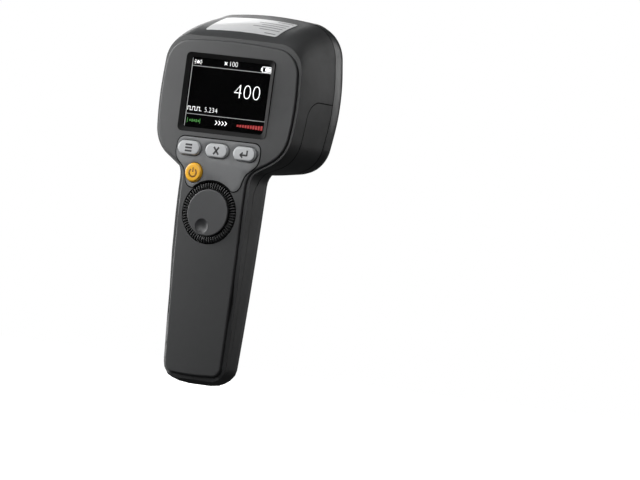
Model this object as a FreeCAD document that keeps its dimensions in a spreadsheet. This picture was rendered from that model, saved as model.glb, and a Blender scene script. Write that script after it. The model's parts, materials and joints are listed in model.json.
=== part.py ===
"""Handheld LED stroboscope, built as an assembly of separate pieces.

Lengths are millimetres.  +X is the user's right when looking at the screen, +Y is the direction of the
light and +Z runs up from the handle to the head.  Sizes are written from the middle of the screen, where
the rear face is at y = 0.  Every piece is then placed so that the middle of the hand grip is the origin.
"""
import FreeCAD, Part
import Sketcher

import math
import os
import re

Vector = FreeCAD.Vector

SIZES = [
    # where the screen's middle lies from the middle of the grip
    ("screen_rise", 115.0, "screen middle above the grip middle"),
    ("face_setback", 17.0, "rear face behind the grip middle"),
    # rear face
    ("face_half", 48.9, "half width of the face at its widest"),
    ("face_widest", -5.0, "height of the widest place"),
    ("face_top", 34.4, "height of the face's top middle"),
    ("face_shoulder_half", 46.6, "half width at the top corner"),
    ("face_shoulder", 31.2, "height of the top corner"),
    ("face_shoulder_round", 17.0, "radius of the top corner"),
    ("face_hip_half", 46.2, "half width at the lower corner"),
    ("face_hip", -32.8, "height of the lower corner"),
    ("face_hip_round", 22.0, "radius of the lower corner"),
    ("neck_half", 23.2, "half width of the face at the neck"),
    ("neck_height", -47.0, "height of the neck corner"),
    ("neck_round", 12.0, "radius of the neck corner"),
    ("heel_half", 20.1, "half width of the face at the handle's end"),
    ("heel_height", -172.6, "height of the face's lower edge"),
    ("heel_round", 6.0, "radius of the face's lower corners"),
    ("side_bow", 0.9, "how far the handle's sides bow outwards between neck and end"),
    ("crown_radius", 460.0, "radius of the face across its width"),
    ("face_step", 1.7, "height of the raised face over the body"),
    ("face_margin", 1.2, "width of the ledge round the raised face"),
    ("face_edge_round", 1.3, "rounding of the raised face's edge"),
    ("neck_swell", 2.2, "how far the face comes back at the dial"),
    ("heel_lean", 3.0, "how far the face leans forward at its lower end"),
    # head
    ("head_half", 53.2, "half width of the head at the parting line"),
    ("head_widest", 4.0, "height of the head's widest place"),
    ("head_top", 54.8, "height of the head's top middle at the parting line"),
    ("head_shoulder_half", 46.4, "half width at the head's top corner"),
    ("head_shoulder", 50.2, "height of the head's top corner"),
    ("head_shoulder_round", 24.0, "radius of the head's top corner"),
    ("head_hip_half", 46.6, "half width at the head's lower corner"),
    ("head_hip", -39.0, "height of the head's lower corner"),
    ("head_hip_round", 20.0, "radius of the head's lower corner"),
    ("head_foot", -46.0, "height of the head's underside at the parting line"),
    ("shoulder_bulge", 0.5, "bulge of the body behind the raised face"),
    ("crown_bulge", 2.8, "how much higher the head's top bulges behind the raised face"),
    ("parting_depth", 42.0, "depth of the bezel's parting line"),
    ("bezel_depth", 57.5, "depth of the bezel's front rim"),
    ("bezel_roll", 9.0, "rounding of the bezel's outer edge"),
    ("bezel_swell", 0.3, "how far the bezel stands outside the parting line"),
    # handle
    ("grip_margin", 3.2, "how far the handle's sides stand outside the raised face"),
    ("grip_front_top", 31.0, "depth of the handle's front below the head"),
    ("grip_front_heel", 28.4, "depth of the handle's front at its end"),
    ("grip_round", 13.5, "rounding of the handle's front corners"),
    ("grip_crown", 2.6, "bulge of the handle's front"),
    ("grip_end", -178.4, "height of the handle's end"),
    ("end_dome", 11.8, "height of the dome at the handle's end"),
    ("end_pull", 15.0, "how far the dome draws the sides in"),
    ("rib_first", -88.5, "height of the first grip rib"),
    ("rib_pitch", 9.95, "distance between grip ribs"),
    ("rib_half", 9.8, "half width of the first grip rib"),
    ("rib_taper", 0.4, "how much each rib is narrower on each side than the one above"),
    ("rib_thick", 1.4, "thickness of a grip rib"),
    ("rib_proud", 0.6, "how far a grip rib stands out"),
    # seams and shells
    ("wall", 2.2, "wall of the shells"),
    ("seam_gap", 0.3, "gap between two shells at a seam"),
    ("side_seam", 3.0, "height of the seam at the bezel"),
    ("hip_seam", -38.0, "height where the seam turns back to the handle"),
    ("hip_seam_depth", 15.0, "depth of the seam behind the lower half of the head"),
    ("grip_seam_top", -58.0, "height where the handle's seam starts"),
    ("grip_seam_depth", 5.9, "depth of the seam at the top of the handle"),
    ("heel_seam_depth", 9.5, "depth of the seam at the handle's end"),
    ("seam_round", 12.0, "rounding of the seam's bends"),
    ("rim_width", 7.6, "width of the bezel's rolled rim"),
    ("clip_half", 8.0, "half height of the bezel's clips"),
    ("clip_inset", 6.3, "distance from the clips' inner faces to the head's widest place"),
    ("clip_thick", 1.8, "thickness of the clips"),
    ("clip_long", 6.0, "how far the clips reach behind the parting line"),
    ("clip_root", 5.0, "how far the clips reach into the bezel"),
    # screen
    ("recess_width", 64.0, "width of the screen opening"),
    ("recess_height", 49.0, "height of the screen opening"),
    ("recess_round", 3.0, "corner radius of the screen opening"),
    ("fit_gap", 0.3, "clearance of pieces that drop into openings"),
    ("window_depth", 1.7, "depth of the window's outer face"),
    ("window_thick", 1.0, "thickness of the window"),
    ("panel_front", 2.8, "depth of the display panel's front"),
    ("panel_back", 6.0, "depth of the display panel's back"),
    ("frame_width", 70.0, "width of the display frame"),
    ("frame_height", 56.0, "height of the display frame"),
    ("frame_front", 5.6, "depth of the display frame's front"),
    ("frame_thick", 2.0, "thickness of the display frame"),
    ("frame_bar", 10.0, "width of the display frame's bars"),
    # keys
    ("key_pitch", 20.0, "distance between key middles"),
    ("key_place", -34.6, "height of the three keys"),
    ("key_width", 16.5, "width of a key"),
    ("key_tall", 9.0, "height of a key"),
    ("key_front", -2.8, "depth of a key's touch face"),
    ("key_rim", 1.0, "width of the rim that keeps a key in"),
    ("key_rim_depth", 4.1, "depth of that rim"),
    ("key_rim_thick", 0.8, "thickness of that rim"),
    ("power_across", -14.3, "place of the power key across the face"),
    ("power_place", -49.4, "height of the power key"),
    ("power_radius", 6.0, "radius of the power key"),
    ("power_front", -3.4, "depth of the power key's touch face"),
    ("power_rim_depth", 4.1, "depth of the power key's rim"),
    ("key_round", 1.0, "rounding of the keys' front edges"),
    ("key_travel", 0.8, "travel of the keys"),
    ("inlay_gap", 0.15, "clearance round the inlay in its pocket"),
    ("switch_side", 6.0, "side of a switch"),
    ("switch_thick", 3.4, "thickness of a switch"),
    ("plunger_radius", 1.7, "radius of a switch plunger"),
    ("plunger_play", 0.05, "clearance of a plunger in its switch"),
    ("plunger_sunk", 1.3, "how far a plunger reaches into its switch"),
    ("plunger_room", 0.4, "free depth behind a plunger that is pressed in"),
    # grey inlay under the keys
    ("inlay_half", 30.4, "half width of the inlay at the keys"),
    ("inlay_top", -27.3, "height of the inlay's top edge"),
    ("inlay_hip", -40.6, "height of the inlay's widest corner"),
    ("inlay_neck_half", 22.0, "half width of the inlay at the neck"),
    ("inlay_neck", -47.2, "height of the inlay's neck"),
    ("inlay_foot", -58.6, "height of the inlay's lower edge"),
    ("inlay_foot_half", 18.8, "half width of the inlay's lower edge"),
    ("inlay_foot_round", 5.5, "radius of the inlay's lower corners"),
    ("inlay_neck_round", 10.0, "radius of the inlay's neck"),
    ("inlay_hip_round", 9.0, "radius of the inlay's widest corner"),
    ("inlay_top_round", 5.0, "radius of the inlay's top corners"),
    ("inlay_thick", 0.8, "thickness of the inlay"),
    ("inlay_proud", 0.2, "how far the inlay stands out"),
    # dial
    ("dial_place", -73.0, "height of the dial's middle"),
    ("rim_radius", 19.0, "outer radius of the knurled rim"),
    ("rim_bore", 14.6, "inner radius of the knurled rim"),
    ("rim_front", -2.0, "depth of the rim's outer face"),
    ("cap_front", -3.4, "depth of the dial disc's outer face"),
    ("cap_round", 0.7, "rounding of the dial disc's outer edge"),
    ("cap_play", 0.1, "clearance between the disc and the rim"),
    ("flange_front", 0.6, "depth of the flange that carries the rim"),
    ("flange_thick", 1.1, "thickness of that flange"),
    ("flange_radius", 18.4, "radius of that flange"),
    ("knurl_count", 72, "number of grooves round the rim"),
    ("knurl_radius", 0.5, "radius of a groove"),
    ("dimple_across", -3.0, "place of the finger dimple across the disc"),
    ("dimple_place", -8.6, "height of the finger dimple under the dial's middle"),
    ("dimple_radius", 4.7, "radius of the finger dimple at the surface"),
    ("dimple_depth", 1.9, "depth of the finger dimple"),
    ("dial_gap", 0.4, "clearance round and under the dial"),
    ("cup_wall", 1.6, "floor of the cup under the dial"),
    ("shaft_radius", 3.0, "radius of the encoder shaft"),
    ("shaft_play", 0.05, "clearance of the shaft in the encoder"),
    ("shaft_front", -1.0, "depth of the shaft's outer end"),
    ("shaft_back", 9.2, "depth of the shaft's inner end"),
    ("encoder_side", 12.0, "side of the encoder"),
    ("encoder_front", 4.2, "depth of the encoder's front"),
    # boards
    ("board_depth", 10.0, "depth of the main board"),
    ("board_thick", 1.6, "thickness of the boards"),
    ("board_half", 43.0, "half width of the main board in the head"),
    ("board_top", 24.0, "height of the main board's top edge"),
    ("board_step", -23.0, "height where the main board narrows"),
    ("board_waist_half", 30.0, "half width of the main board behind the keys"),
    ("board_waist", -40.8, "height where the board's tongue starts"),
    ("board_tongue_half", 17.0, "half width of the board's tongue"),
    ("board_foot", -91.0, "height of the tongue's end"),
    ("post_across", 39.0, "place of the board screws across"),
    ("post_place", 17.0, "height of the board screws above and below the middle"),
    ("post_radius", 3.0, "radius of the board posts"),
    ("screw_radius", 1.5, "radius of the screw shanks"),
    ("screw_head_radius", 2.6, "radius of the screw heads"),
    ("screw_head_thick", 1.8, "thickness of the screw heads"),
    ("screw_bite", 5.0, "length of the screws in what they hold"),
    ("screw_play", 0.1, "clearance round the screw shanks"),
    ("chip_side", 14.0, "side of the processor"),
    ("chip_thick", 1.2, "thickness of the processor"),
    ("capacitor_radius", 5.0, "radius of a storage capacitor"),
    ("capacitor_long", 14.0, "length of a storage capacitor"),
    ("capacitor_across", 16.0, "place of the storage capacitors across"),
    ("capacitor_place", -12.0, "height of the storage capacitors"),
    ("coil_side", 12.0, "side of a driver inductor"),
    ("coil_thick", 6.0, "thickness of a driver inductor"),
    ("coil_across", 25.0, "place of the driver inductors across"),
    ("coil_place", 8.0, "height of the driver inductors"),
    # light
    ("light_place", 4.0, "height of the lens grid's middle"),
    ("lens_pitch", 25.3, "distance between lens middles"),
    ("lens_radius", 11.5, "radius of a lens"),
    ("lens_front", 54.6, "depth of a lens's front edge"),
    ("lens_dome", 0.7, "bulge of a lens's front"),
    ("lens_lip", 2.0, "thickness of a lens's outer edge"),
    ("lens_back", 45.4, "depth of a lens's back"),
    ("lens_back_radius", 5.0, "radius of a lens's back"),
    ("lens_cup_radius", 3.4, "radius of the hollow over the emitter"),
    ("lens_cup_deep", 3.0, "depth of that hollow"),
    ("mask_front", 54.0, "depth of the lens plate's face"),
    ("mask_thick", 1.8, "thickness of the lens plate"),
    ("mask_lap", 0.8, "how far the lens plate reaches behind the bezel's rim"),
    ("led_board_depth", 43.4, "depth of the LED board's back"),
    ("led_board_half", 37.0, "half width of the LED board"),
    ("led_board_tall", 68.0, "height of the LED board"),
    ("emitter_side", 3.5, "side of an emitter"),
    ("emitter_thick", 1.2, "thickness of an emitter"),
    ("pad_thick", 0.8, "thickness of the thermal pad"),
    ("pad_half", 32.0, "half side of the thermal pad"),
    ("sink_half", 34.0, "half side of the heat sink"),
    ("sink_base", 3.0, "thickness of the heat sink's base"),
    ("sink_fin", 1.5, "thickness of a fin"),
    ("sink_fin_deep", 9.0, "depth of the fins"),
    ("sink_fins", 10, "number of fins"),
    ("pillar_radius", 3.0, "radius of the lens plate's pillars"),
    ("pillar_across", 12.65, "place of the pillars across and above the grid's middle"),
    ("lens_play", 0.1, "clearance round a lens"),
    # handle insides
    ("grip_screw_top", -54.0, "height of the upper handle screw"),
    ("grip_screw_foot", -167.6, "height of the lower handle screw"),
    ("grip_hole_radius", 3.2, "radius of the handle's screw wells"),
    ("grip_boss_radius", 4.6, "radius of the handle's screw bosses"),
    ("screw_seat", 20.0, "depth of the seats of the handle screws"),
    ("boss_split", 12.6, "depth where the handle bosses meet"),
    ("boss_root", 1.5, "depth where the rear bosses and posts start"),
    ("cell_radius", 8.0, "radius of a battery cell"),
    ("cell_long", 65.0, "length of a battery cell"),
    ("cell_top", -95.2, "height of the cells' upper end"),
    ("cell_across", 8.8, "place of the cells across"),
    ("cell_gap", 0.3, "gap round the cells"),
    ("tray_back", 6.9, "depth of the battery tray's back"),
    ("tray_floor", 1.3, "floor of the battery tray under the cells"),
    ("tray_deep", 8.0, "depth of the battery tray"),
    ("tray_wall", 1.2, "thickness of the battery tray's walls"),
    ("saddle_half", 14.0, "half width of the saddles under the tray"),
    ("saddle_thick", 1.6, "thickness of the saddles"),
    ("saddle_inset", 9.0, "distance from the cells' ends to the saddles"),
    ("contact_thick", 0.8, "thickness of a battery contact"),
    ("port_place", -62.0, "height of the charging port"),
    ("port_depth", 9.0, "depth of the charging port's middle"),
    ("port_tall", 10.4, "height of the charging port's slot"),
    ("port_wide", 4.5, "width of the charging port's slot"),
    ("port_mouth", 24.6, "place of the socket's mouth across"),
    ("port_long", 7.3, "length of the charging socket"),
    ("port_wall", 0.6, "wall of the charging socket"),
    ("port_gap", 0.35, "gap between the socket and its slot"),
    ("cable_radius", 0.9, "radius of the inner cables"),
    ("cable_run", 11.0, "how far the lamp cable runs straight behind the LED board"),
    ("cable_slant", 10.0, "depth of the lamp cable's slanted run"),
    ("cable_shift", 2.6, "how far the slanted run goes outwards"),
    ("cable_drop", 4.0, "how far the slanted run goes down"),
    ("lead_spread", 1.4, "place of the battery leads beside the plug's middle"),
    ("plug_side", 6.0, "side of the battery plug on the board"),
    ("plug_top", -80.0, "height of the battery plug's upper end"),
    ("plug_across", 9.0, "place of the battery plug across"),
    ("ribbon_half", 8.0, "half width of the display ribbon"),
    ("ribbon_place", -14.0, "height of the display ribbon"),
    ("ribbon_thick", 0.4, "thickness of the display ribbon"),
    # rating plate
    ("label_half", 25.6, "half width of the rating label"),
    ("label_rear", 7.6, "depth of the label's rear edge"),
    ("label_front", 32.0, "depth of the label's front edge"),
    ("label_thick", 0.2, "thickness of the label"),
]

NECK_STATION = -62.0
HEAD_STATION = -8.0
FAR = 120.0
ARC_SHARE = 0.47
FACE_ROWS = 16
FACE_COLUMNS = 7
SIDE_CROWN = 200.0
TOP_CROWN = 400.0
HANDLE_CROWN = 4000.0
RIB_COUNT = 7
FLARE_SINE = 0.906      # the flare turns through 65 degrees
FLARE_REACH = 0.45      # share of the neck's radius by which the flare rises past the neck


def make_sheet(document):
    """Write every driving size into a spreadsheet with a word for each cell."""
    sheet = document.addObject("Spreadsheet::Sheet", "Sizes")
    for row, (alias, value, note) in enumerate(SIZES, start=1):
        sheet.set(f"A{row}", alias)
        sheet.set(f"B{row}", str(value))
        sheet.set(f"C{row}", note)
        sheet.setAlias(f"B{row}", alias)
    document.recompute()
    return sheet


doc = FreeCAD.newDocument("led_stroboscope")
sheet = make_sheet(doc)


def size(alias):
    """Read one driving size from the spreadsheet."""
    return float(sheet.get(alias))


# ---------------------------------------------------------------- outlines

def offset_corners(corners, distance):
    """Move a counter-clockwise outline of (u, v, radius) corners outwards by a distance."""
    moved = []
    for index, (u, v, radius) in enumerate(corners):
        before = corners[index - 1]
        after = corners[(index + 1) % len(corners)]
        first = Vector(u - before[0], v - before[1], 0).normalize()
        second = Vector(after[0] - u, after[1] - v, 0).normalize()
        share = distance / (1.0 + first.dot(second))
        left_turn = first.cross(second).z > 0
        new_radius = radius + distance if left_turn else radius - distance
        moved.append((u + (first.y + second.y) * share,
                      v - (first.x + second.x) * share,
                      new_radius))
    return moved


def rounded_wire(corners, to_space):
    """Draw an outline of straight runs and tangent arcs; to_space puts (u, v) into space.

    An arc never takes more than its share of the straight run on either side of its corner.
    """
    arcs = []
    for index, (u, v, radius) in enumerate(corners):
        before = corners[index - 1]
        after = corners[(index + 1) % len(corners)]
        corner = Vector(u, v, 0)
        run_in = corner - Vector(before[0], before[1], 0)
        run_out = Vector(after[0], after[1], 0) - corner
        room = ARC_SHARE * min(run_in.Length, run_out.Length)
        first, second = run_in.normalize(), run_out.normalize()
        half_turn = first.getAngle(second) / 2.0
        reach = min(radius * math.tan(half_turn), room)
        depth = reach / math.sin(half_turn) - reach / math.tan(half_turn)
        middle = corner + (second - first).normalize() * depth
        arcs.append((corner - first * reach, middle, corner + second * reach))
    edges = []
    for index, (start, middle, end) in enumerate(arcs):
        previous_end = arcs[index - 1][2]
        edges.append(Part.makeLine(to_space(previous_end.x, previous_end.y), to_space(start.x, start.y)))
        edges.append(Part.Arc(to_space(start.x, start.y), to_space(middle.x, middle.y),
                              to_space(end.x, end.y)).toShape())
    return Part.Wire(edges)


def mirrored(right_half, bottom=None, top=None):
    """Close a right half, listed from bottom to top, with its mirror image."""
    left_half = [(-u, v, radius) for u, v, radius in reversed(right_half)]
    corners = [bottom] if bottom else []
    corners += right_half
    corners += [top] if top else []
    return corners + left_half


def upright(depth):
    """Put outline points on the upright plane at one depth."""
    return lambda u, v: Vector(u, depth, v)


def level(height):
    """Put outline points on the level plane at one height."""
    return lambda u, v: Vector(u, v, height)


def side_on(across):
    """Put outline points, as depth and height, on the plane at one place across the width."""
    return lambda u, v: Vector(across, u, v)


def slab(corners, first_depth, last_depth):
    """Make a solid with an upright outline between two depths."""
    face = Part.Face(rounded_wire(corners, upright(first_depth)))
    return face.extrude(Vector(0, last_depth - first_depth, 0))


def face_outline():
    """Corners of the raised rear face, counter-clockwise, from the middle of its lower edge."""
    right_half = [
        (size("heel_half"), size("heel_height"), size("heel_round")),
        ((size("heel_half") + size("neck_half")) / 2.0 + size("side_bow"),
         (size("heel_height") + size("neck_height")) / 2.0, HANDLE_CROWN),
        (size("neck_half"), size("neck_height"), size("neck_round")),
        (size("face_hip_half"), size("face_hip"), size("face_hip_round")),
        (size("face_half"), size("face_widest"), 200.0),
        (size("face_shoulder_half"), size("face_shoulder"), size("face_shoulder_round")),
    ]
    return mirrored(right_half, bottom=(0, size("heel_height") - 1.0, 150.0),
                    top=(0, size("face_top"), 400.0))


# ---------------------------------------------------------------- outer form

def face_line(height):
    """Depth of the face's middle line at a height."""
    if height >= HEAD_STATION:
        return 0.0
    if height >= NECK_STATION:
        share = (HEAD_STATION - height) / (HEAD_STATION - NECK_STATION)
        return -size("neck_swell") * share
    share = (NECK_STATION - height) / (NECK_STATION - size("grip_end"))
    return -size("neck_swell") + (size("neck_swell") + size("heel_lean")) * share


def face_block(offset):
    """Everything in front of the crowned face surface, moved forward by an offset."""
    reach = size("head_half") + 20.0
    bottom, top = size("grip_end") - 20.0, size("head_top") + 20.0
    grid = []
    for row in range(FACE_ROWS):
        height = bottom + (top - bottom) * row / (FACE_ROWS - 1)
        line = []
        for column in range(FACE_COLUMNS):
            across = reach * (2.0 * column / (FACE_COLUMNS - 1) - 1.0)
            depth = face_line(height) + across ** 2 / (2.0 * size("crown_radius")) + offset
            line.append(Vector(across, depth, height))
        grid.append(line)
    surface = Part.BSplineSurface()
    surface.interpolate(grid)
    return surface.toShape().extrude(Vector(0, FAR, 0))


def head_corners(share, swell):
    """Corners of the head between the raised face's foot (share 0) and the parting line (share 1)."""
    def between(rear, front):
        return rear + (front - rear) * share

    def rounding(rear, front):
        return rear + (front - rear) * max(share, 0.0)

    slope = (size("face_hip") - size("neck_height")) / (size("face_hip_half") - size("neck_half"))
    rear_foot = size("face_hip") - slope * size("face_hip_half")
    lift = size("crown_bulge") * math.sin(math.pi * min(max(share, 0.0), 1.0) ** 0.6)
    right_half = [
        (between(size("face_hip_half"), size("head_hip_half")), between(size("face_hip"), size("head_hip")),
         rounding(size("face_hip_round"), size("head_hip_round"))),
        (between(size("face_half"), size("head_half")),
         between(size("face_widest"), size("head_widest")), SIDE_CROWN),
        (between(size("face_shoulder_half"), size("head_shoulder_half")),
         between(size("face_shoulder"), size("head_shoulder")) + lift,
         rounding(size("face_shoulder_round"), size("head_shoulder_round"))),
    ]
    corners = mirrored(right_half, bottom=(0, between(rear_foot, size("head_foot")), TOP_CROWN),
                       top=(0, between(size("face_top"), size("head_top")) + lift, TOP_CROWN))
    return offset_corners(corners, size("face_margin") * (1.0 - max(share, 0.0)) + swell)


def head_form(inset):
    """The head from behind its face to the bezel's rim, moved inwards by an inset."""
    parting, rim, roll = size("parting_depth"), size("bezel_depth") - inset, size("bezel_roll")
    step = size("face_step")
    sections = []
    for share in (-0.2, -0.03, 0.03, 0.08, 0.16, 0.28, 0.42, 0.56, 0.7, 0.85, 1.0):
        depth = step + (parting - step) * share
        bulge = size("shoulder_bulge") * math.sin(math.pi * math.sqrt(max(share, 0.0)))
        sections.append(rounded_wire(head_corners(share, bulge - inset), upright(depth)))
    for angle in (0, 25, 48, 70, 90):
        turn = math.radians(angle)
        depth = rim - roll + roll * math.sin(turn)
        pulled_in = roll * (1.0 - math.cos(turn))
        swell = size("bezel_swell") - pulled_in - inset
        sections.append(rounded_wire(head_corners(1.0, swell), upright(depth)))
    return Part.makeLoft(sections, True, True)


def grip_half(height):
    """Half width of the handle's sides at a height, with the flare of the neck."""
    neck, heel = size("neck_height"), size("heel_height")
    share = (neck - height) / (neck - heel)
    straight = size("neck_half") + (size("heel_half") - size("neck_half")) * share
    bow = size("side_bow") * max(4.0 * share * (1.0 - share), 0.0)
    radius = size("neck_round")
    rise = min(max(height - flare_foot(), 0.0), radius * FLARE_SINE)
    return straight + bow + size("grip_margin") + radius - math.sqrt(radius ** 2 - rise ** 2)


def flare_foot():
    """Height where the handle starts to flare into the head."""
    return size("neck_height") - size("neck_round") * (FLARE_SINE - FLARE_REACH)


def grip_front(height):
    """Depth of the handle's front at a height."""
    share = (size("neck_height") - height) / (size("neck_height") - size("grip_end"))
    return size("grip_front_top") + (size("grip_front_heel") - size("grip_front_top")) * share


def grip_section(height, inset, pull):
    """One level section of the handle; the dome pulls it in."""
    half = grip_half(height) - pull
    front = grip_front(height) - 0.7 * pull
    rear = face_line(height) - 4.0 + pull
    lean = 1.4
    corners = [
        (-half + lean, rear, 3.0),
        (half - lean, rear, 3.0),
        (half, front - size("grip_crown"), size("grip_round")),
        (0, front, 60.0),
        (-half, front - size("grip_crown"), size("grip_round")),
    ]
    return rounded_wire(offset_corners(corners, -inset), level(height))


def grip_form(inset):
    """The handle from its rounded end up into the head, moved inwards by an inset."""
    end, dome_height = size("grip_end") + inset, size("end_dome")
    dome = []
    for share in (0.0, 0.07, 0.2, 0.4, 0.7, 1.0):
        pull = (size("end_pull") - 2.0 * inset) * (1.0 - math.sqrt(1.0 - (1.0 - share) ** 2))
        dome.append(grip_section(end + dome_height * share, inset, pull))
    foot, radius = flare_foot(), size("neck_round")
    start = end + dome_height
    heights = [start + (foot - start) * share for share in (0.2, 0.4, 0.6, 0.8, 1.0)]
    heights += [foot + radius * FLARE_SINE * share for share in (0.25, 0.45, 0.62, 0.76, 0.88, 1.0)]
    heights.append(foot + radius * FLARE_SINE + size("wall"))
    shaft = [grip_section(height, inset, 0.0) for height in heights]
    return Part.makeLoft(dome + shaft, True, True)


def seam_prism(growth):
    """The region in front of the seam between the two shells, grown by a distance."""
    corners = [
        (size("heel_seam_depth"), 2.0 * size("grip_end") / 1.9, 1.0),
        (FAR, 2.0 * size("grip_end") / 1.9, 1.0),
        (FAR, size("side_seam"), 1.0),
        (size("hip_seam_depth"), size("side_seam"), size("seam_round")),
        (size("hip_seam_depth"), size("hip_seam"), size("seam_round")),
        (size("grip_seam_depth"), size("grip_seam_top"), size("seam_round")),
    ]
    face = Part.Face(rounded_wire(offset_corners(corners, growth), side_on(-FAR)))
    return face.extrude(Vector(2.0 * FAR, 0, 0))


def half_space(first_depth, last_depth):
    """A large block between two depths."""
    return Part.makeBox(4.0 * FAR, last_depth - first_depth, 6.0 * FAR,
                        Vector(-2.0 * FAR, first_depth, -3.0 * FAR))


def raised_face():
    """The raised rear face with its rounded edge, down into the shell's wall."""
    block = slab(face_outline(), -20.0, 8.0).common(face_block(0.0))
    rear = min(block.Faces, key=lambda face: face.CenterOfMass.y)
    return block.makeFillet(size("face_edge_round"), rear.Edges)


def hollow_form():
    """The whole outer form with its inside taken out."""
    step, wall = size("face_step"), size("wall")
    outer = head_form(0.0).fuse(grip_form(0.0)).common(face_block(step))
    inner = head_form(wall).fuse(grip_form(wall)).common(face_block(step + wall))
    return outer.fuse(raised_face()).cut(inner)


def screen_opening():
    """The opening for the screen, with rounded corners."""
    half, tall = size("recess_width") / 2.0, size("recess_height") / 2.0
    corners = [(-half, -tall, size("recess_round")), (half, -tall, size("recess_round")),
               (half, tall, size("recess_round")), (-half, tall, size("recess_round"))]
    return slab(corners, -size("face_setback"), size("panel_back") + 1.0)


def inlay_outline():
    """Corners of the inlay under the keys."""
    right_half = [
        (size("inlay_foot_half"), size("inlay_foot"), size("inlay_foot_round")),
        (size("inlay_neck_half"), size("inlay_neck"), size("inlay_neck_round")),
        (size("inlay_half"), size("inlay_hip"), size("inlay_hip_round")),
        (size("inlay_half") - 0.6, size("inlay_top"), size("inlay_top_round")),
    ]
    return mirrored(right_half)


def inlay_form(growth, lift):
    """The inlay's space, grown sideways and lifted out of the face."""
    proud, thick = size("inlay_proud"), size("inlay_thick")
    block = slab(offset_corners(inlay_outline(), growth), -20.0, 20.0)
    return block.common(face_block(-proud - lift)).cut(face_block(thick - proud))


def label_form():
    """A thin blank label that follows the top of the head."""
    half, rear, front = size("label_half"), size("label_rear"), size("label_front")
    corners = [(-half, rear, 1.5), (half, rear, 1.5), (half, front, 1.5), (-half, front, 1.5)]
    block = Part.Face(rounded_wire(corners, level(0.0))).extrude(Vector(0, 0, FAR))
    return head_form(-size("label_thick")).common(block).cut(head_form(0.0))


def grip_ribs():
    """The row of short ribs on the front of the handle."""
    ribs = []
    skin = grip_form(-size("rib_proud")).cut(grip_form(size("wall") / 2.0))
    for step in range(RIB_COUNT):
        half = size("rib_half") - size("rib_taper") * step
        middle = size("rib_first") - size("rib_pitch") * step
        block = Part.makeBox(2.0 * half, FAR, size("rib_thick"),
                             Vector(-half, size("screw_seat"), middle - size("rib_thick") / 2.0))
        ribs.append(block.common(skin))
    return ribs[0].fuse(ribs[1:])


def port_slot():
    """The opening of the charging port through the side of the handle."""
    wide, tall = size("port_wide") / 2.0, size("port_tall") / 2.0
    depth, height = size("port_depth"), size("port_place")
    corners = [(depth - wide, height - tall, wide * 0.98), (depth + wide, height - tall, wide * 0.98),
               (depth + wide, height + tall, wide * 0.98), (depth - wide, height + tall, wide * 0.98)]
    face = Part.Face(rounded_wire(corners, side_on(-FAR)))
    return face.extrude(Vector(FAR - size("port_mouth") + size("port_long"), 0, 0))


def cable_form(points, radius):
    """A round cable of straight runs and wide tangent arcs; prints its radii."""
    corners = [Vector(*point) for point in points]
    edges, start = [], corners[0]
    for before, corner, after in zip(corners, corners[1:], corners[2:]):
        run_in, run_out = corner - before, after - corner
        reach = 0.45 * min(run_in.Length, run_out.Length)
        first, second = run_in.normalize(), run_out.normalize()
        half_turn = first.getAngle(second) / 2.0
        bend = reach / math.tan(half_turn)
        middle = corner + (second - first).normalize() * (reach / math.sin(half_turn) - bend)
        edges.append(Part.makeLine(start, corner - first * reach))
        edges.append(Part.Arc(corner - first * reach, middle, corner + second * reach).toShape())
        start = corner + second * reach
        print(f"cable bend radius {bend:.1f} mm")
    edges.append(Part.makeLine(start, corners[-1]))
    path = Part.Wire(edges)
    ring = Part.Wire(Part.makeCircle(radius, corners[0], corners[1] - corners[0]))
    return path.makePipeShell([ring], True, True)


# ---------------------------------------------------------------- document objects

ALIASES = {alias for alias, value, note in SIZES}
ALONG_Y = FreeCAD.Rotation(Vector(1, 0, 0), -90)


def cells(text):
    """Write the size names in an expression as spreadsheet cells."""
    return re.sub(r"[a-z_]+", lambda word: f"Sizes.{word[0]}" if word[0] in ALIASES else word[0], str(text))


def bind(piece, **expressions):
    """Bind a piece's properties to the driving sizes."""
    for name, text in expressions.items():
        piece.setExpression(name, cells(text))
    return piece


def place(piece, across, depth, height):
    """Place a piece at a point given from the middle of the screen."""
    piece.setExpression("Placement.Base.x", cells(across))
    piece.setExpression("Placement.Base.y", cells(f"({depth}) - face_setback"))
    piece.setExpression("Placement.Base.z", cells(f"({height}) + screen_rise"))
    return piece


def solid(name, shape):
    """Add a ready shape, drawn from the middle of the screen, as a piece."""
    piece = doc.addObject("Part::Feature", name)
    piece.Shape = shape
    piece.Placement = FreeCAD.Placement(Vector(0, -size("face_setback"), size("screen_rise")),
                                        FreeCAD.Rotation())
    return piece


def block(name, across, depth, height):
    """A box between three pairs of (from, to) expressions."""
    piece = doc.addObject("Part::Box", name)
    bind(piece, Length=f"({across[1]}) - ({across[0]})", Width=f"({depth[1]}) - ({depth[0]})",
         Height=f"({height[1]}) - ({height[0]})")
    return place(piece, across[0], depth[0], height[0])


def rod(name, across, height, first, last, radius):
    """A round rod that runs forward between two depths."""
    piece = doc.addObject("Part::Cylinder", name)
    piece.Placement = FreeCAD.Placement(Vector(), ALONG_Y)
    bind(piece, Radius=radius, Height=f"({last}) - ({first})")
    return place(piece, across, first, height)


def column(name, across, depth, bottom, top, radius):
    """A round rod that stands upright between two heights."""
    piece = doc.addObject("Part::Cylinder", name)
    bind(piece, Radius=radius, Height=f"({top}) - ({bottom})")
    return place(piece, across, depth, bottom)


def fuse(name, *pieces):
    """Join pieces into one."""
    joined = doc.addObject("Part::MultiFuse", name)
    joined.Shapes = list(pieces)
    return joined


def group(name, *pieces):
    """Keep pieces of one kind together as separate solids."""
    kept = doc.addObject("Part::Compound", name)
    kept.Links = list(pieces)
    return kept


def cut(name, base, *tools):
    """Take tools away from a base."""
    left = doc.addObject("Part::Cut", name)
    left.Base = base
    left.Tool = tools[0] if len(tools) == 1 else fuse(f"{name}_tools", *tools)
    return left


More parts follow.
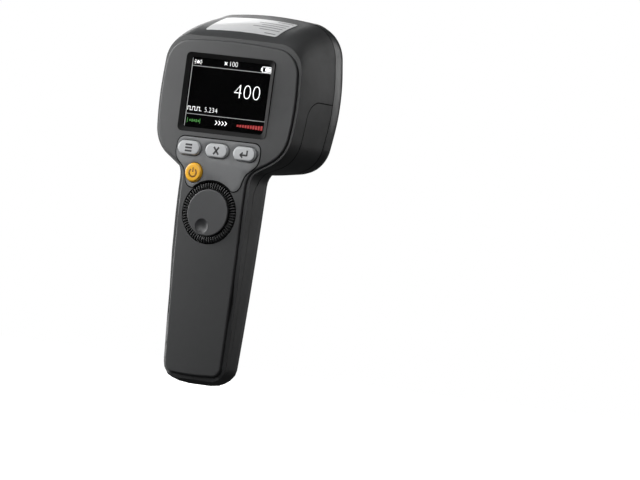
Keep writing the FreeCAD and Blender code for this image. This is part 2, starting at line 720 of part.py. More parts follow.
def new_body(name, across, depth, height):
    """Start a body whose own origin lies at a point given from the middle of the screen."""
    body = doc.addObject("PartDesign::Body", name)
    return place(body, across, depth, height)


def new_sketch(body, name, role, forward="0"):
    """Attach a sketch to one of its body's own planes, moved along the plane's normal."""
    sketch = body.newObject("Sketcher::SketchObject", f"{body.Name}_{name}")
    base = [plane for plane in body.Origin.OriginFeatures if plane.Role == role][0]
    sketch.AttachmentSupport = (base, "")
    sketch.MapMode = "FlatFace"
    sketch.setExpression("AttachmentOffset.Base.z", cells(forward))
    return sketch


def draw_circle(sketch, name, radius, across="0", up="0"):
    """Add a circle whose radius and middle are bound to the sizes."""
    index = sketch.addGeometry(Part.Circle(Vector(0.1, 0.1, 0), Vector(0, 0, 1), 1.0))
    sketch.addConstraint(Sketcher.Constraint("Radius", index, 1.0))
    sketch.renameConstraint(sketch.ConstraintCount - 1, f"{name}_radius")
    sketch.setExpression(f"Constraints.{name}_radius", cells(radius))
    for kind, text in (("DistanceX", across), ("DistanceY", up)):
        sketch.addConstraint(Sketcher.Constraint(kind, -1, 1, index, 3, 0.1))
        sketch.renameConstraint(sketch.ConstraintCount - 1, f"{name}_{kind}")
        sketch.setExpression(f"Constraints.{name}_{kind}", cells(text))


def draw_polygon(sketch, corners):
    """Add a closed polygon whose corners, as (across, up, across text, up text), are bound."""
    count = len(corners)
    for index, corner in enumerate(corners):
        after = corners[(index + 1) % count]
        line = Part.LineSegment(Vector(corner[0], corner[1], 0), Vector(after[0], after[1], 0))
        sketch.addGeometry(line)
    for index, corner in enumerate(corners):
        sketch.addConstraint(Sketcher.Constraint("Coincident", index, 2, (index + 1) % count, 1))
        for kind, value, text in (("DistanceX", corner[0], corner[2]), ("DistanceY", corner[1], corner[3])):
            sketch.addConstraint(Sketcher.Constraint(kind, -1, 1, index, 1, value))
            sketch.renameConstraint(sketch.ConstraintCount - 1, f"corner{index}_{kind}")
            sketch.setExpression(f"Constraints.corner{index}_{kind}", cells(text))


# ---------------------------------------------------------------- shells

body = hollow_form()
half_gap = size("seam_gap") / 2.0
shells = body.common(half_space(-FAR, size("parting_depth") - half_gap))
rear_blank = solid("rear_blank", shells.cut(seam_prism(half_gap)))
grip_blank = solid("grip_blank", shells.common(seam_prism(-half_gap)))
bezel_opening = slab(head_corners(1.0, -size("rim_width")), size("mask_front") - 4.0, FAR)
bezel_shape = body.common(half_space(size("parting_depth") + half_gap, FAR))
bezel_blank = solid("bezel_blank", bezel_shape.cut(bezel_opening))

POSTS = [("post_across", "post_place"), ("-post_across", "post_place"),
         ("-post_across", "-post_place"), ("post_across", "-post_place")]
KEYS = [("left", "-key_pitch"), ("middle", "0"), ("right", "key_pitch")]
CELL_FOOT = "cell_top - cell_long"
TRAY_TOP = "cell_top + cell_gap + contact_thick + tray_wall"
TRAY_FOOT = f"{CELL_FOOT} - cell_gap - contact_thick - tray_wall"
CUP_FLOOR = "flange_front + flange_thick + dial_gap"
BOARD_BACK = "board_depth + board_thick"
PILLARS = [("pillar_across", 1), ("-pillar_across", 1), ("-pillar_across", -1), ("pillar_across", -1)]


def stadium(name, across, height, first, last, width, tall):
    """A bar with round ends that runs forward between two depths."""
    reach = f"(({width}) - ({tall})) / 2"
    middle = block(f"{name}_middle", (f"({across}) - {reach}", f"({across}) + {reach}"), (first, last),
                   (f"({height}) - ({tall}) / 2", f"({height}) + ({tall}) / 2"))
    ends = [rod(f"{name}_end_{side}", f"({across}) {sign} {reach}", height, first, last, f"({tall}) / 2")
            for side, sign in (("a", "-"), ("b", "+"))]
    return fuse(name, middle, *ends)


def rear_housing():
    """The rear shell with its posts, bosses, dial cup and openings."""
    added = [rod(f"post_{number}", across, height, "boss_root + wall", "board_depth", "post_radius")
             for number, (across, height) in enumerate(POSTS)]
    added.append(rod("rear_boss_top", "0", "grip_screw_top", "boss_root", "boss_split", "grip_boss_radius"))
    added.append(rod("rear_boss_foot", "0", "grip_screw_foot", "boss_root + wall", "boss_split",
                     "grip_boss_radius"))
    added.append(rod("dial_cup", "0", "dial_place", "boss_root / 2", f"{CUP_FLOOR} + cup_wall",
                     "rim_radius + dial_gap + cup_wall"))
    for name, root, height in (("top", "boss_root", "cell_top - saddle_inset"),
                               ("foot", "boss_root + wall", f"{CELL_FOOT} + saddle_inset")):
        added.append(block(f"saddle_{name}", ("-saddle_half", "saddle_half"), (root, "tray_back"),
                           (f"({height}) - saddle_thick / 2", f"({height}) + saddle_thick / 2")))
    taken = [solid("screen_opening", screen_opening())]
    for name, across in KEYS:
        taken.append(stadium(f"key_opening_{name}", across, "key_place", "-face_setback", "board_depth",
                             "key_width + 2 * fit_gap", "key_tall + 2 * fit_gap"))
    taken.append(rod("power_opening", "power_across", "power_place", "-face_setback", "board_depth",
                     "power_radius + fit_gap"))
    taken.append(rod("dial_recess", "0", "dial_place", "-face_setback", CUP_FLOOR, "rim_radius + dial_gap"))
    taken.append(rod("shaft_opening", "0", "dial_place", "-face_setback", "board_depth",
                     "shaft_radius + dial_gap"))
    for number, (across, height) in enumerate(POSTS):
        taken.append(rod(f"post_hole_{number}", across, height, f"{BOARD_BACK} - screw_bite - board_thick",
                         "board_depth + 1", "screw_radius + screw_play / 2"))
    for name in ("top", "foot"):
        taken.append(rod(f"rear_boss_hole_{name}", "0", f"grip_screw_{name}", "boss_split - screw_bite",
                         "boss_split + 1", "screw_radius + screw_play / 2"))
    taken.append(solid("inlay_pocket", inlay_form(size("inlay_gap"), 5.0)))
    return cut("rear_housing", fuse("rear_housing_solid", rear_blank, *added), *taken)


def grip_housing():
    """The front shell of the handle and the lower head, with ribs, bosses and the charging port."""
    ribs = solid("grip_ribs", grip_ribs())
    added = [ribs]
    taken = [solid("port_slot", port_slot())]
    for name, front in (("top", "grip_front_top - wall / 2"), ("foot", "grip_front_heel - wall / 2")):
        height = f"grip_screw_{name}"
        added.append(rod(f"grip_boss_{name}", "0", height, "boss_split + seam_gap", front, "grip_boss_radius"))
        taken.append(rod(f"screw_well_{name}", "0", height, "screw_seat", "screw_seat + face_setback",
                         "grip_hole_radius"))
        taken.append(rod(f"screw_pass_{name}", "0", height, "boss_split", "screw_seat + 1",
                         "screw_radius + screw_play"))
    return cut("grip_housing", fuse("grip_housing_solid", grip_blank, *added), *taken)


def front_bezel():
    """The bezel with a clip on either side that reaches behind the parting line."""
    clips = []
    inner = "head_half - clip_inset"
    for name, low, high in (("right", inner, f"{inner} + clip_thick"),
                            ("left", f"-({inner}) - clip_thick", f"-({inner})")):
        wide = (low, f"{high} + wall") if name == "right" else (f"{low} - wall", high)
        height = ("head_widest - clip_half", "head_widest + clip_half")
        clips.append(block(f"clip_{name}", (low, high), ("parting_depth - clip_long",
                                                        "parting_depth + clip_root"), height))
        clips.append(block(f"clip_root_{name}", wide, ("parting_depth + seam_gap",
                                                      "parting_depth + clip_root"), height))
    return fuse("front_bezel", bezel_blank, *clips)


def key_panel():
    """The grey inlay round the keys, cut out for the keys and the dial."""
    blank = solid("key_panel_blank", inlay_form(0.0, 0.0))
    taken = [stadium(f"panel_opening_{name}", across, "key_place", "-face_setback", "board_depth",
                     "key_width + 2 * fit_gap", "key_tall + 2 * fit_gap") for name, across in KEYS]
    taken.append(rod("panel_power_opening", "power_across", "power_place", "-face_setback", "board_depth",
                     "power_radius + fit_gap"))
    taken.append(rod("panel_dial_opening", "0", "dial_place", "-face_setback", "board_depth",
                     "rim_radius + 2.5 * dial_gap"))
    return cut("key_panel", blank, *taken)


# ---------------------------------------------------------------- display

def rounded_plate(name, across, depth, height):
    """A plate whose four corners across the light are rounded to drop into the screen opening."""
    plate = block(f"{name}_plate", across, depth, height)
    doc.recompute()
    corners = [number for number, line in enumerate(plate.Shape.Edges, start=1)
               if abs(line.BoundBox.YLength - plate.Shape.BoundBox.YLength) < 1e-6
               and line.BoundBox.XLength < 1e-6]
    rounded = doc.addObject("Part::Fillet", name)
    rounded.Base = plate
    corner_radius = size("recess_round") - size("fit_gap")
    rounded.Edges = [(number, corner_radius, corner_radius) for number in corners]
    return rounded


def display():
    """Window, panel and the frame that holds the panel."""
    across = ("-recess_width / 2 + fit_gap", "recess_width / 2 - fit_gap")
    height = ("-recess_height / 2 + fit_gap", "recess_height / 2 - fit_gap")
    window = rounded_plate("display_window", across, ("window_depth", "window_depth + window_thick"), height)
    panel = rounded_plate("display_module", across, ("panel_front", "panel_back"), height)
    outer = block("frame_outer", ("-frame_width / 2", "frame_width / 2"),
                  ("frame_front", "frame_front + frame_thick"), ("-frame_height / 2", "frame_height / 2"))
    pocket = block("frame_pocket", across, ("0", "panel_back"), height)
    middle = block("frame_middle", ("-frame_width / 2 + frame_bar", "frame_width / 2 - frame_bar"),
                   ("0", "board_depth"), ("-frame_height / 2 + frame_bar", "frame_height / 2 - frame_bar"))
    frame = cut("display_frame", outer, pocket, middle)
    ribbon = block("display_ribbon", ("-ribbon_half", "ribbon_half"), ("panel_back", "board_depth"),
                   ("ribbon_place - ribbon_thick / 2", "ribbon_place + ribbon_thick / 2"))
    return [window, panel, frame, ribbon]


# ---------------------------------------------------------------- keys and dial

def key_body(name, across, height, front, rim_depth, radius, reach):
    """A key with round ends: a rim that keeps it in, then the stem with a rounded front edge."""
    body = new_body(name, across, f"{rim_depth} + key_rim_thick", height)
    for part_name, length, grow in (("rim", "key_rim_thick", "key_rim"),
                                    ("stem", f"{rim_depth} + key_rim_thick - ({front})", "0")):
        sketch = new_sketch(body, part_name, "XZ_Plane")
        full = f"{radius} + {grow}"
        if reach:
            draw_stadium(sketch, full, reach)
        else:
            draw_circle(sketch, "edge", full)
        pad = body.newObject("PartDesign::Pad", f"{name}_{part_name}_pad")
        pad.Profile = sketch
        bind(pad, Length=length)
    doc.recompute()
    stem = body.Tip
    front_depth = stem.Shape.BoundBox.YMin
    names = [f"Edge{number}" for number, edge in enumerate(stem.Shape.Edges, start=1)
             if all(abs(vertex.Y - front_depth) < 1e-3 for vertex in edge.Vertexes)]
    rounding = body.newObject("PartDesign::Fillet", f"{name}_edge")
    rounding.Base = (stem, names)
    bind(rounding, Radius="key_round")
    return body


def draw_stadium(sketch, radius, reach):
    """Add a bar outline with round ends, bound by its end radius and the reach to their middles."""
    half, round_end = 4.0, 2.0
    sketch.addGeometry(Part.LineSegment(Vector(half, round_end, 0), Vector(-half, round_end, 0)))
    circle = Part.Circle(Vector(-half, 0, 0), Vector(0, 0, 1), round_end)
    sketch.addGeometry(Part.ArcOfCircle(circle, math.pi / 2.0, 3.0 * math.pi / 2.0))
    sketch.addGeometry(Part.LineSegment(Vector(-half, -round_end, 0), Vector(half, -round_end, 0)))
    circle = Part.Circle(Vector(half, 0, 0), Vector(0, 0, 1), round_end)
    sketch.addGeometry(Part.ArcOfCircle(circle, -math.pi / 2.0, math.pi / 2.0))
    for index in range(4):
        sketch.addConstraint(Sketcher.Constraint("Tangent", index, 2, (index + 1) % 4, 1))
    sketch.addConstraint(Sketcher.Constraint("Equal", 1, 3))
    sketch.addConstraint(Sketcher.Constraint("Symmetric", 1, 3, 3, 3, -1, 1))
    sketch.addConstraint(Sketcher.Constraint("PointOnObject", 3, 3, -1))
    sketch.addConstraint(Sketcher.Constraint("Radius", 3, round_end))
    sketch.renameConstraint(sketch.ConstraintCount - 1, "end_radius")
    sketch.setExpression("Constraints.end_radius", cells(radius))
    sketch.addConstraint(Sketcher.Constraint("DistanceX", -1, 1, 3, 3, half))
    sketch.renameConstraint(sketch.ConstraintCount - 1, "end_reach")
    sketch.setExpression("Constraints.end_reach", cells(reach))


def keys():
    """Three keys, the power key, their plungers and the switches behind them."""
    pieces, switches = [], []
    reach = "(key_width - key_tall) / 2"
    places = [(f"key_{name}", name, across, "key_place", "key_front", "key_rim_depth", "key_tall / 2", reach)
              for name, across in KEYS]
    places.append(("power_key", "power", "power_across", "power_place", "power_front", "power_rim_depth",
                   "power_radius", None))
    for label, name, across, height, front, rim_depth, radius, spread in places:
        pieces.append(key_body(label, across, height, front, rim_depth, radius, spread))
        switch_front = "board_depth - switch_thick"
        pieces.append(rod(f"switch_plunger_{name}", across, height, f"{rim_depth} + key_rim_thick",
                          f"{switch_front} + plunger_sunk", "plunger_radius"))
        case = block(f"switch_case_{name}", (f"{across} - switch_side / 2", f"{across} + switch_side / 2"),
                     (switch_front, "board_depth"),
                     (f"{height} - switch_side / 2", f"{height} + switch_side / 2"))
        hole = rod(f"switch_hole_{name}", across, height, "0",
                   f"{switch_front} + plunger_sunk + key_travel + plunger_room", "plunger_radius + plunger_play")
        switches.append(cut(f"switch_{name}", case, hole))
    pieces.append(group("key_switches", *switches))
    return pieces


def dial():
    """The knurled rim, the disc with its flange and finger dimple, the shaft and the encoder."""
    rim = new_body("dial_rim", "0", "flange_front", "dial_place")
    sketch = new_sketch(rim, "ring", "XZ_Plane")
    draw_circle(sketch, "outer", "rim_radius")
    draw_circle(sketch, "inner", "rim_bore")
    pad = rim.newObject("PartDesign::Pad", "dial_rim_pad")
    pad.Profile = sketch
    bind(pad, Length="flange_front - rim_front")
    groove_sketch = new_sketch(rim, "groove", "XZ_Plane")
    draw_circle(groove_sketch, "groove", "knurl_radius", "rim_radius + knurl_radius / 4", "0")
    groove = rim.newObject("PartDesign::Pocket", "dial_rim_groove")
    groove.Profile = groove_sketch
    groove.Type = "ThroughAll"
    groove.Reversed = True
    doc.recompute()
    if groove.Shape.Volume >= pad.Shape.Volume:
        raise RuntimeError("the knurl groove cuts nothing")
    knurl = rim.newObject("PartDesign::PolarPattern", "dial_rim_knurl")
    knurl.Originals = [groove]
    knurl.Axis = (sketch, ["N_Axis"])
    knurl.Angle = 360.0
    bind(knurl, Occurrences="knurl_count")
    rim.Tip = knurl

    disc = rod("dial_disc", "0", "dial_place", "cap_front", "flange_front + flange_thick / 2",
               "rim_bore - cap_play")
    doc.recompute()
    edge = doc.addObject("Part::Fillet", "dial_disc_round")
    edge.Base = disc
    round_edges = [number for number, line in enumerate(disc.Shape.Edges, start=1)
                   if line.BoundBox.YMax - disc.Shape.BoundBox.YMin < 1e-4]
    edge.Edges = [(number, size("cap_round"), size("cap_round")) for number in round_edges]
    flange = rod("dial_flange", "0", "dial_place", "flange_front", "flange_front + flange_thick",
                 "flange_radius")
    ball = doc.addObject("Part::Sphere", "dial_dimple")
    ball_radius = "(dimple_radius ^ 2 + dimple_depth ^ 2) / (2 * dimple_depth)"
    bind(ball, Radius=ball_radius)
    place(ball, "dimple_across", f"cap_front + dimple_depth - {ball_radius}", "dial_place + dimple_place")
    socket = rod("dial_socket", "0", "dial_place", "shaft_front", "flange_front + flange_thick + 1",
                 "shaft_radius + shaft_play / 2")
    cap = cut("dial_cap", fuse("dial_cap_solid", edge, flange), ball, socket)
    shaft = rod("encoder_shaft", "0", "dial_place", "shaft_front", "shaft_back", "shaft_radius")
    case = block("encoder_case", ("-encoder_side / 2", "encoder_side / 2"), ("encoder_front", "board_depth"),
                 ("dial_place - encoder_side / 2", "dial_place + encoder_side / 2"))
    bore = rod("encoder_bore", "0", "dial_place", "0", "shaft_back + fit_gap", "shaft_radius + shaft_play")
    return [rim, cap, shaft, cut("encoder_body", case, bore)]


# ---------------------------------------------------------------- boards

def boards():
    """The main board with what stands on it, and its screws."""
    depth = ("board_depth", BOARD_BACK)
    head = block("board_head", ("-board_half", "board_half"), depth, ("board_step", "board_top"))
    waist = block("board_waist", ("-board_waist_half", "board_waist_half"), depth,
                  ("board_waist", "board_step + 1"))
    tongue = block("board_tongue", ("-board_tongue_half", "board_tongue_half"), depth,
                   ("board_foot", "board_waist + 1"))
    holes = [rod(f"board_hole_{number}", across, height, "0", "2 * board_depth", "screw_radius + screw_play")
             for number, (across, height) in enumerate(POSTS)]
    holes.append(rod("board_boss_hole", "0", "grip_screw_top", "0", "2 * board_depth",
                     "grip_boss_radius + fit_gap"))
    board = cut("main_board", fuse("board_solid", head, waist, tongue), *holes)
    screws = []
    for number, (across, height) in enumerate(POSTS):
        shank = rod(f"board_shank_{number}", across, height, "board_depth - screw_bite + 0.2",
                    f"{BOARD_BACK} + 0.5", "screw_radius")
        head = rod(f"board_screw_head_{number}", across, height, BOARD_BACK,
                   f"{BOARD_BACK} + screw_head_thick", "screw_head_radius")
        screws.append(fuse(f"board_screw_{number}", shank, head))
    chip = block("processor", ("-chip_side / 2", "chip_side / 2"), (BOARD_BACK, f"{BOARD_BACK} + chip_thick"),
                 ("coil_place - chip_side / 2", "coil_place + chip_side / 2"))
    cans, coils = [], []
    for name, sign in (("left", "-"), ("right", "")):
        cans.append(column(f"capacitor_{name}", f"{sign}capacitor_across", f"{BOARD_BACK} + capacitor_radius",
                           "capacitor_place - capacitor_long / 2", "capacitor_place + capacitor_long / 2",
                           "capacitor_radius"))
        coils.append(block(f"coil_{name}", (f"{sign}coil_across - coil_side / 2",
                                            f"{sign}coil_across + coil_side / 2"),
                           (BOARD_BACK, f"{BOARD_BACK} + coil_thick"),
                           ("coil_place - coil_side / 2", "coil_place + coil_side / 2")))
    return [board, group("board_screws", *screws), chip, group("storage_capacitors", *cans),
            group("driver_inductors", *coils)]


# ---------------------------------------------------------------- light

def lens(number, across, height):
    """A lens turned about its own axis, with a bulged front and a hollow for the emitter."""
    body = new_body(f"led_lens_{number}", across, "0", height)
    sketch = new_sketch(body, "profile", "XY_Plane")
    texts = [("0", "lens_back + lens_cup_deep"), ("lens_cup_radius", "lens_back + lens_cup_deep"),
             ("lens_cup_radius", "lens_back"), ("lens_back_radius", "lens_back"),
             ("lens_radius", "lens_front - lens_lip"), ("lens_radius", "lens_front"),
             ("lens_radius * 0.7", "lens_front + lens_dome * 0.52"),
             ("lens_radius * 0.35", "lens_front + lens_dome * 0.88"), ("0", "lens_front + lens_dome")]
    values = [(0, 48), (3, 48), (3, 45), (5, 45), (11, 52), (11, 54), (8, 54.3), (4, 54.6), (0, 54.7)]
    draw_polygon(sketch, [(*value, *text) for value, text in zip(values, texts)])
    turned = body.newObject("PartDesign::Revolution", f"{body.Name}_turned")
    turned.Profile = sketch
    turned.ReferenceAxis = (sketch, ["V_Axis"])
    turned.Angle = 360.0
    return body


def heat_sink():
    """Finned heat sink; its fins leave room for the screws."""
    body = new_body("sink_blank", "0", "led_board_depth - pad_thick", "light_place")
    sketch = new_sketch(body, "base", "XZ_Plane")
    draw_polygon(sketch, [(-3, -3, "-sink_half", "-sink_half"), (3, -3, "sink_half", "-sink_half"),
                          (3, 3, "sink_half", "sink_half"), (-3, 3, "-sink_half", "sink_half")])
    pad = body.newObject("PartDesign::Pad", "sink_base_pad")
    pad.Profile = sketch
    bind(pad, Length="sink_base")
    fin_sketch = new_sketch(body, "fin", "XZ_Plane")
    draw_polygon(fin_sketch, [(-3, -3, "-sink_half", "-sink_half"), (-2, -3, "-sink_half + sink_fin", "-sink_half"),
                              (-2, 3, "-sink_half + sink_fin", "sink_half"), (-3, 3, "-sink_half", "sink_half")])
    fin = body.newObject("PartDesign::Pad", "sink_fin_pad")
    fin.Profile = fin_sketch
    bind(fin, Length="sink_base + sink_fin_deep")
    fins = body.newObject("PartDesign::LinearPattern", "sink_fin_row")
    fins.Originals = [fin]
    fins.Direction = (sketch, ["H_Axis"])
    bind(fins, Length="2 * sink_half - sink_fin", Occurrences="sink_fins")
    body.Tip = fins
    back = "led_board_depth - pad_thick - sink_base"
    taken = []
    for number, (across, sign) in enumerate(PILLARS):
        height = f"light_place + {sign} * pillar_across"
        taken.append(rod(f"sink_room_{number}", across, height, "0", back, "screw_head_radius + 2 * fit_gap"))
        taken.append(rod(f"sink_hole_{number}", across, height, "0", "bezel_depth", "screw_radius + screw_play"))
    return cut("heat_sink", body, *taken)


def lamp():
    """Nine lenses, their plate, the emitters' board, the thermal pad, the heat sink and the screws."""
    pieces, emitters, lens_holes = [], [], []
    for row in range(3):
        for column_number in range(3):
            number = 3 * row + column_number + 1
            across = f"{column_number - 1} * lens_pitch"
            height = f"light_place + {1 - row} * lens_pitch"
            pieces.append(lens(number, across, height))
            lens_holes.append(rod(f"plate_hole_{number}", across, height, "mask_front - 2 * mask_thick",
                                  "mask_front + mask_thick", "lens_radius + lens_play"))
            emitters.append(block(f"emitter_{number}", (f"{across} - emitter_side / 2",
                                                        f"{across} + emitter_side / 2"),
                                  ("led_board_depth + board_thick", "led_board_depth + board_thick + emitter_thick"),
                                  (f"{height} - emitter_side / 2", f"{height} + emitter_side / 2")))
    plate = solid("plate_blank", slab(head_corners(1.0, size("mask_lap") - size("rim_width")),
                                      size("mask_front") - size("mask_thick"), size("mask_front")))
    pillars, pilot_holes, board_holes, pad_holes, screws = [], [], [], [], []
    board_front = "led_board_depth + board_thick"
    sink_back = "led_board_depth - pad_thick - sink_base"
    for number, (across, sign) in enumerate(PILLARS):
        height = f"light_place + {sign} * pillar_across"
        pillars.append(rod(f"pillar_{number}", across, height, board_front, "mask_front - mask_thick / 2",
                           "pillar_radius"))
        pilot_holes.append(rod(f"pillar_hole_{number}", across, height, "led_board_depth",
                               f"{board_front} + screw_bite", "screw_radius + screw_play / 2"))
        board_holes.append(rod(f"led_board_hole_{number}", across, height, "0", "bezel_depth",
                               "screw_radius + screw_play"))
        pad_holes.append(rod(f"pad_hole_{number}", across, height, "0", "bezel_depth",
                             "screw_radius + screw_play"))
        shank = rod(f"lamp_shank_{number}", across, height, sink_back, f"{board_front} + screw_bite - 0.3",
                    "screw_radius")
        head = rod(f"lamp_screw_head_{number}", across, height, f"{sink_back} - screw_head_thick", sink_back,
                   "screw_head_radius")
        screws.append(fuse(f"lamp_screw_{number}", shank, head))
    pieces.append(cut("lens_plate", fuse("plate_solid", plate, *pillars), *lens_holes, *pilot_holes))
    pieces.append(group("led_emitters", *emitters))
    tall = ("light_place - led_board_tall / 2", "light_place + led_board_tall / 2")
    led_board = block("led_board_solid", ("-led_board_half", "led_board_half"), ("led_board_depth", board_front),
                      tall)
    pieces.append(cut("led_board", led_board, *board_holes))
    pad = block("pad_solid", ("-pad_half", "pad_half"), ("led_board_depth - pad_thick", "led_board_depth"),
                ("light_place - pad_half", "light_place + pad_half"))
    pieces.append(cut("thermal_pad", pad, *pad_holes))
    pieces.append(heat_sink())
    pieces.append(group("lamp_screws", *screws))
    return pieces


# ---------------------------------------------------------------- handle insides

def battery():
    """Two cells in a tray with a contact plate at either end."""
    axis_depth = "tray_back + tray_floor + cell_gap + cell_radius"
    side = "cell_across + cell_radius + cell_gap + tray_wall"
    cells_kept, channels = [], []
    for name, sign in (("left", "-"), ("right", "")):
        cells_kept.append(column(f"cell_{name}", f"{sign}cell_across", axis_depth, CELL_FOOT, "cell_top",
                                 "cell_radius"))
        channels.append(column(f"cell_channel_{name}", f"{sign}cell_across", axis_depth,
                               f"{CELL_FOOT} - cell_gap - contact_thick", "cell_top + cell_gap + contact_thick",
                               "cell_radius + cell_gap"))
    tray_solid = block("tray_solid", (f"-({side})", side), ("tray_back", "tray_back + tray_deep"),
                       (TRAY_FOOT, TRAY_TOP))
    plates = []
    for name, low in (("top", "cell_top + cell_gap"), ("foot", f"{CELL_FOOT} - cell_gap - contact_thick")):
        plates.append(block(f"contact_{name}", ("-cell_across - cell_radius / 2", "cell_across + cell_radius / 2"),
                            ("tray_back + tray_floor + cell_radius / 2", "tray_back + tray_floor + 1.4 * cell_radius"),
                            (low, f"{low} + contact_thick")))
        channels.append(block(f"contact_slot_{name}", ("-cell_across - cell_radius / 2",
                                                       "cell_across + cell_radius / 2"),
                              ("tray_back + tray_floor + cell_radius / 2", "tray_back + 3 * tray_deep"),
                              (low, f"{low} + contact_thick")))
    tray = cut("battery_tray", tray_solid, *channels)
    return [tray, group("battery_cells", *cells_kept), group("battery_contacts", *plates)]


def charging_socket():
    """The charging socket at the edge of the board, open to the side of the handle."""
    wall = "port_wall"
    wide, tall = "port_wide / 2 - port_gap", "port_tall / 2 - 3.4 * port_gap"
    outer = block("socket_outer", ("-port_mouth", "-port_mouth + port_long"),
                  (f"port_depth - ({wide})", f"port_depth + {wide}"), (f"port_place - ({tall})", f"port_place + {tall}"))
    inner = block("socket_inner", ("-port_mouth - 1", "-port_mouth + port_long - 1.2"),
                  (f"port_depth - ({wide}) + {wall}", f"port_depth + {wide} - {wall}"),
                  (f"port_place - ({tall}) + {wall}", f"port_place + {tall} - {wall}"))
    tongue = block("socket_tongue", ("-port_mouth + 1", "-port_mouth + port_long - 0.6"),
                   ("port_depth - 0.35", "port_depth + 0.35"),
                   (f"port_place - ({tall}) + 3 * {wall}", f"port_place + {tall} - 3 * {wall}"))
    return fuse("charging_socket", cut("socket_shell", outer, inner), tongue)


def grip_screws():
    """The two screws that hold the handle's shells together."""
    screws = []
    for name in ("top", "foot"):
        height = f"grip_screw_{name}"
        shank = rod(f"grip_shank_{name}", "0", height, "boss_split - screw_bite + 0.3", "screw_seat + 0.5",
                    "screw_radius")
        head = rod(f"grip_screw_head_{name}", "0", height, "screw_seat", "screw_seat + screw_head_thick",
                   "screw_head_radius")
        cross = [block(f"cross_{name}_{way}", ("-" + long, long), ("screw_seat + screw_head_thick / 2", "screw_seat + screw_head_thick + 1"),
                       (f"{height} - {tall}", f"{height} + {tall}"))
                 for way, long, tall in (("a", "screw_head_radius * 0.62", "screw_head_radius * 0.14"),
                                         ("b", "screw_head_radius * 0.14", "screw_head_radius * 0.62"))]
        screws.append(cut(f"grip_screw_{name}_piece", fuse(f"grip_screw_{name}_solid", shank, head), *cross))
    return group("grip_screws", *screws)


def wiring():
    """The lamp's cable beside the heat sink and the battery's leads with their plug."""
    back, board_back = size("led_board_depth"), size("board_depth") + size("board_thick")
    start = size("led_board_half") - size("cable_radius") - size("fit_gap")
    bend, lower = back - size("cable_run"), size("light_place") - size("cable_drop")
    beside = start + size("cable_shift")
    lamp_cable = solid("led_cable", cable_form([
        (start, back, size("light_place")), (start, bend, size("light_place")),
        (beside, bend - size("cable_slant"), lower), (beside, board_back, lower),
    ], size("cable_radius")))
    plug = block("plug_solid", ("plug_across - plug_side / 2", "plug_across + plug_side / 2"),
                 (BOARD_BACK, f"{BOARD_BACK} + plug_side * 0.7"), ("plug_top - plug_side", "plug_top"))
    leads = [column(f"lead_{name}", f"plug_across {sign} lead_spread", f"{BOARD_BACK} + plug_side * 0.35", TRAY_TOP,
                    "plug_top - plug_side", "cable_radius")
             for name, sign in (("a", "-"), ("b", "+"))]
    return [lamp_cable, plug, group("battery_leads", *leads)]


nodes = [rear_housing(), grip_housing(), front_bezel(), key_panel()]
nodes += display() + keys() + dial() + boards() + lamp() + battery()
lamp_cable, battery_plug, battery_leads = wiring()
battery_plug.Label = "battery_plug"
nodes += [charging_socket(), grip_screws(), lamp_cable, battery_plug, battery_leads]
nodes.append(solid("rating_label", label_form()))
doc.recompute()

faults = [f"{piece.Label}: {piece.State}" for piece in doc.Objects
          if "Invalid" in piece.State or "Error" in piece.State]
faults += [f"{piece.Label}: no valid shape" for piece in nodes
           if piece.Shape.isNull() or not piece.Shape.isValid() or not piece.Shape.Solids]
if faults:
    raise RuntimeError("; ".join(faults))

os.makedirs("parts", exist_ok=True)
for piece in nodes:
    piece.Shape.exportStep(f"parts/{piece.Label}.step")
    print(piece.Label, len(piece.Shape.Solids), round(piece.Shape.Volume, 1))
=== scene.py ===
"""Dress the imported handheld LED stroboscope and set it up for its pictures.

Lengths in the classes are millimetres, written from the middle of the screen where the rear face is at
depth 0.  +X is the user's right when looking at the screen, +Y is the direction of the light and +Z runs up
from the handle to the head.  `spot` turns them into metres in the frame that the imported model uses.
"""

import json
import logging
import math
from contextlib import contextmanager
from dataclasses import dataclass, field
from enum import Enum
from typing import Callable, Iterator, Optional, Sequence

import bpy
from mathutils import Matrix, Vector
from mathutils.bvhtree import BVHTree


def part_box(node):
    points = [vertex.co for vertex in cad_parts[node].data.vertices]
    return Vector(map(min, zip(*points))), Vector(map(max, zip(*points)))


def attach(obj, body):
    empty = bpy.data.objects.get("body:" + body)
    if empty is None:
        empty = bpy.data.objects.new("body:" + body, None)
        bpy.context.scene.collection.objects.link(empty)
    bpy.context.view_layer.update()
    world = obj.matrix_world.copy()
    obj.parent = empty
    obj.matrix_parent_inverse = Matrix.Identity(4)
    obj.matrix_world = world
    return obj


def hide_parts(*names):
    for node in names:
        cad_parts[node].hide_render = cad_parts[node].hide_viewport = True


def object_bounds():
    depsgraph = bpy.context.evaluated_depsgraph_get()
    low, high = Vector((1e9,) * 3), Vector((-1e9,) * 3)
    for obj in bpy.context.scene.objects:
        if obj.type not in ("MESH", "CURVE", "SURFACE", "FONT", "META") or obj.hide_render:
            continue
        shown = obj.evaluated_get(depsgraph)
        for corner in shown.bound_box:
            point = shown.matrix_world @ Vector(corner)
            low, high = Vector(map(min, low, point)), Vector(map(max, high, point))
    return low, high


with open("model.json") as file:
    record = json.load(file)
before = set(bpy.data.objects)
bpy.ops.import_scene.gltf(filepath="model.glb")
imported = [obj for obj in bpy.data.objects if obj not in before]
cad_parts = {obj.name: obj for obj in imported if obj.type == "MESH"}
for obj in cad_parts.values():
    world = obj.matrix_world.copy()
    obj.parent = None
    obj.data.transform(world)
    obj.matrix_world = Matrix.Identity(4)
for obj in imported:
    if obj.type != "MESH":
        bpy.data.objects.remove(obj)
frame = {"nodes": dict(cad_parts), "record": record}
CAD_BOX = [[float(value) for value in corner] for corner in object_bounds()]

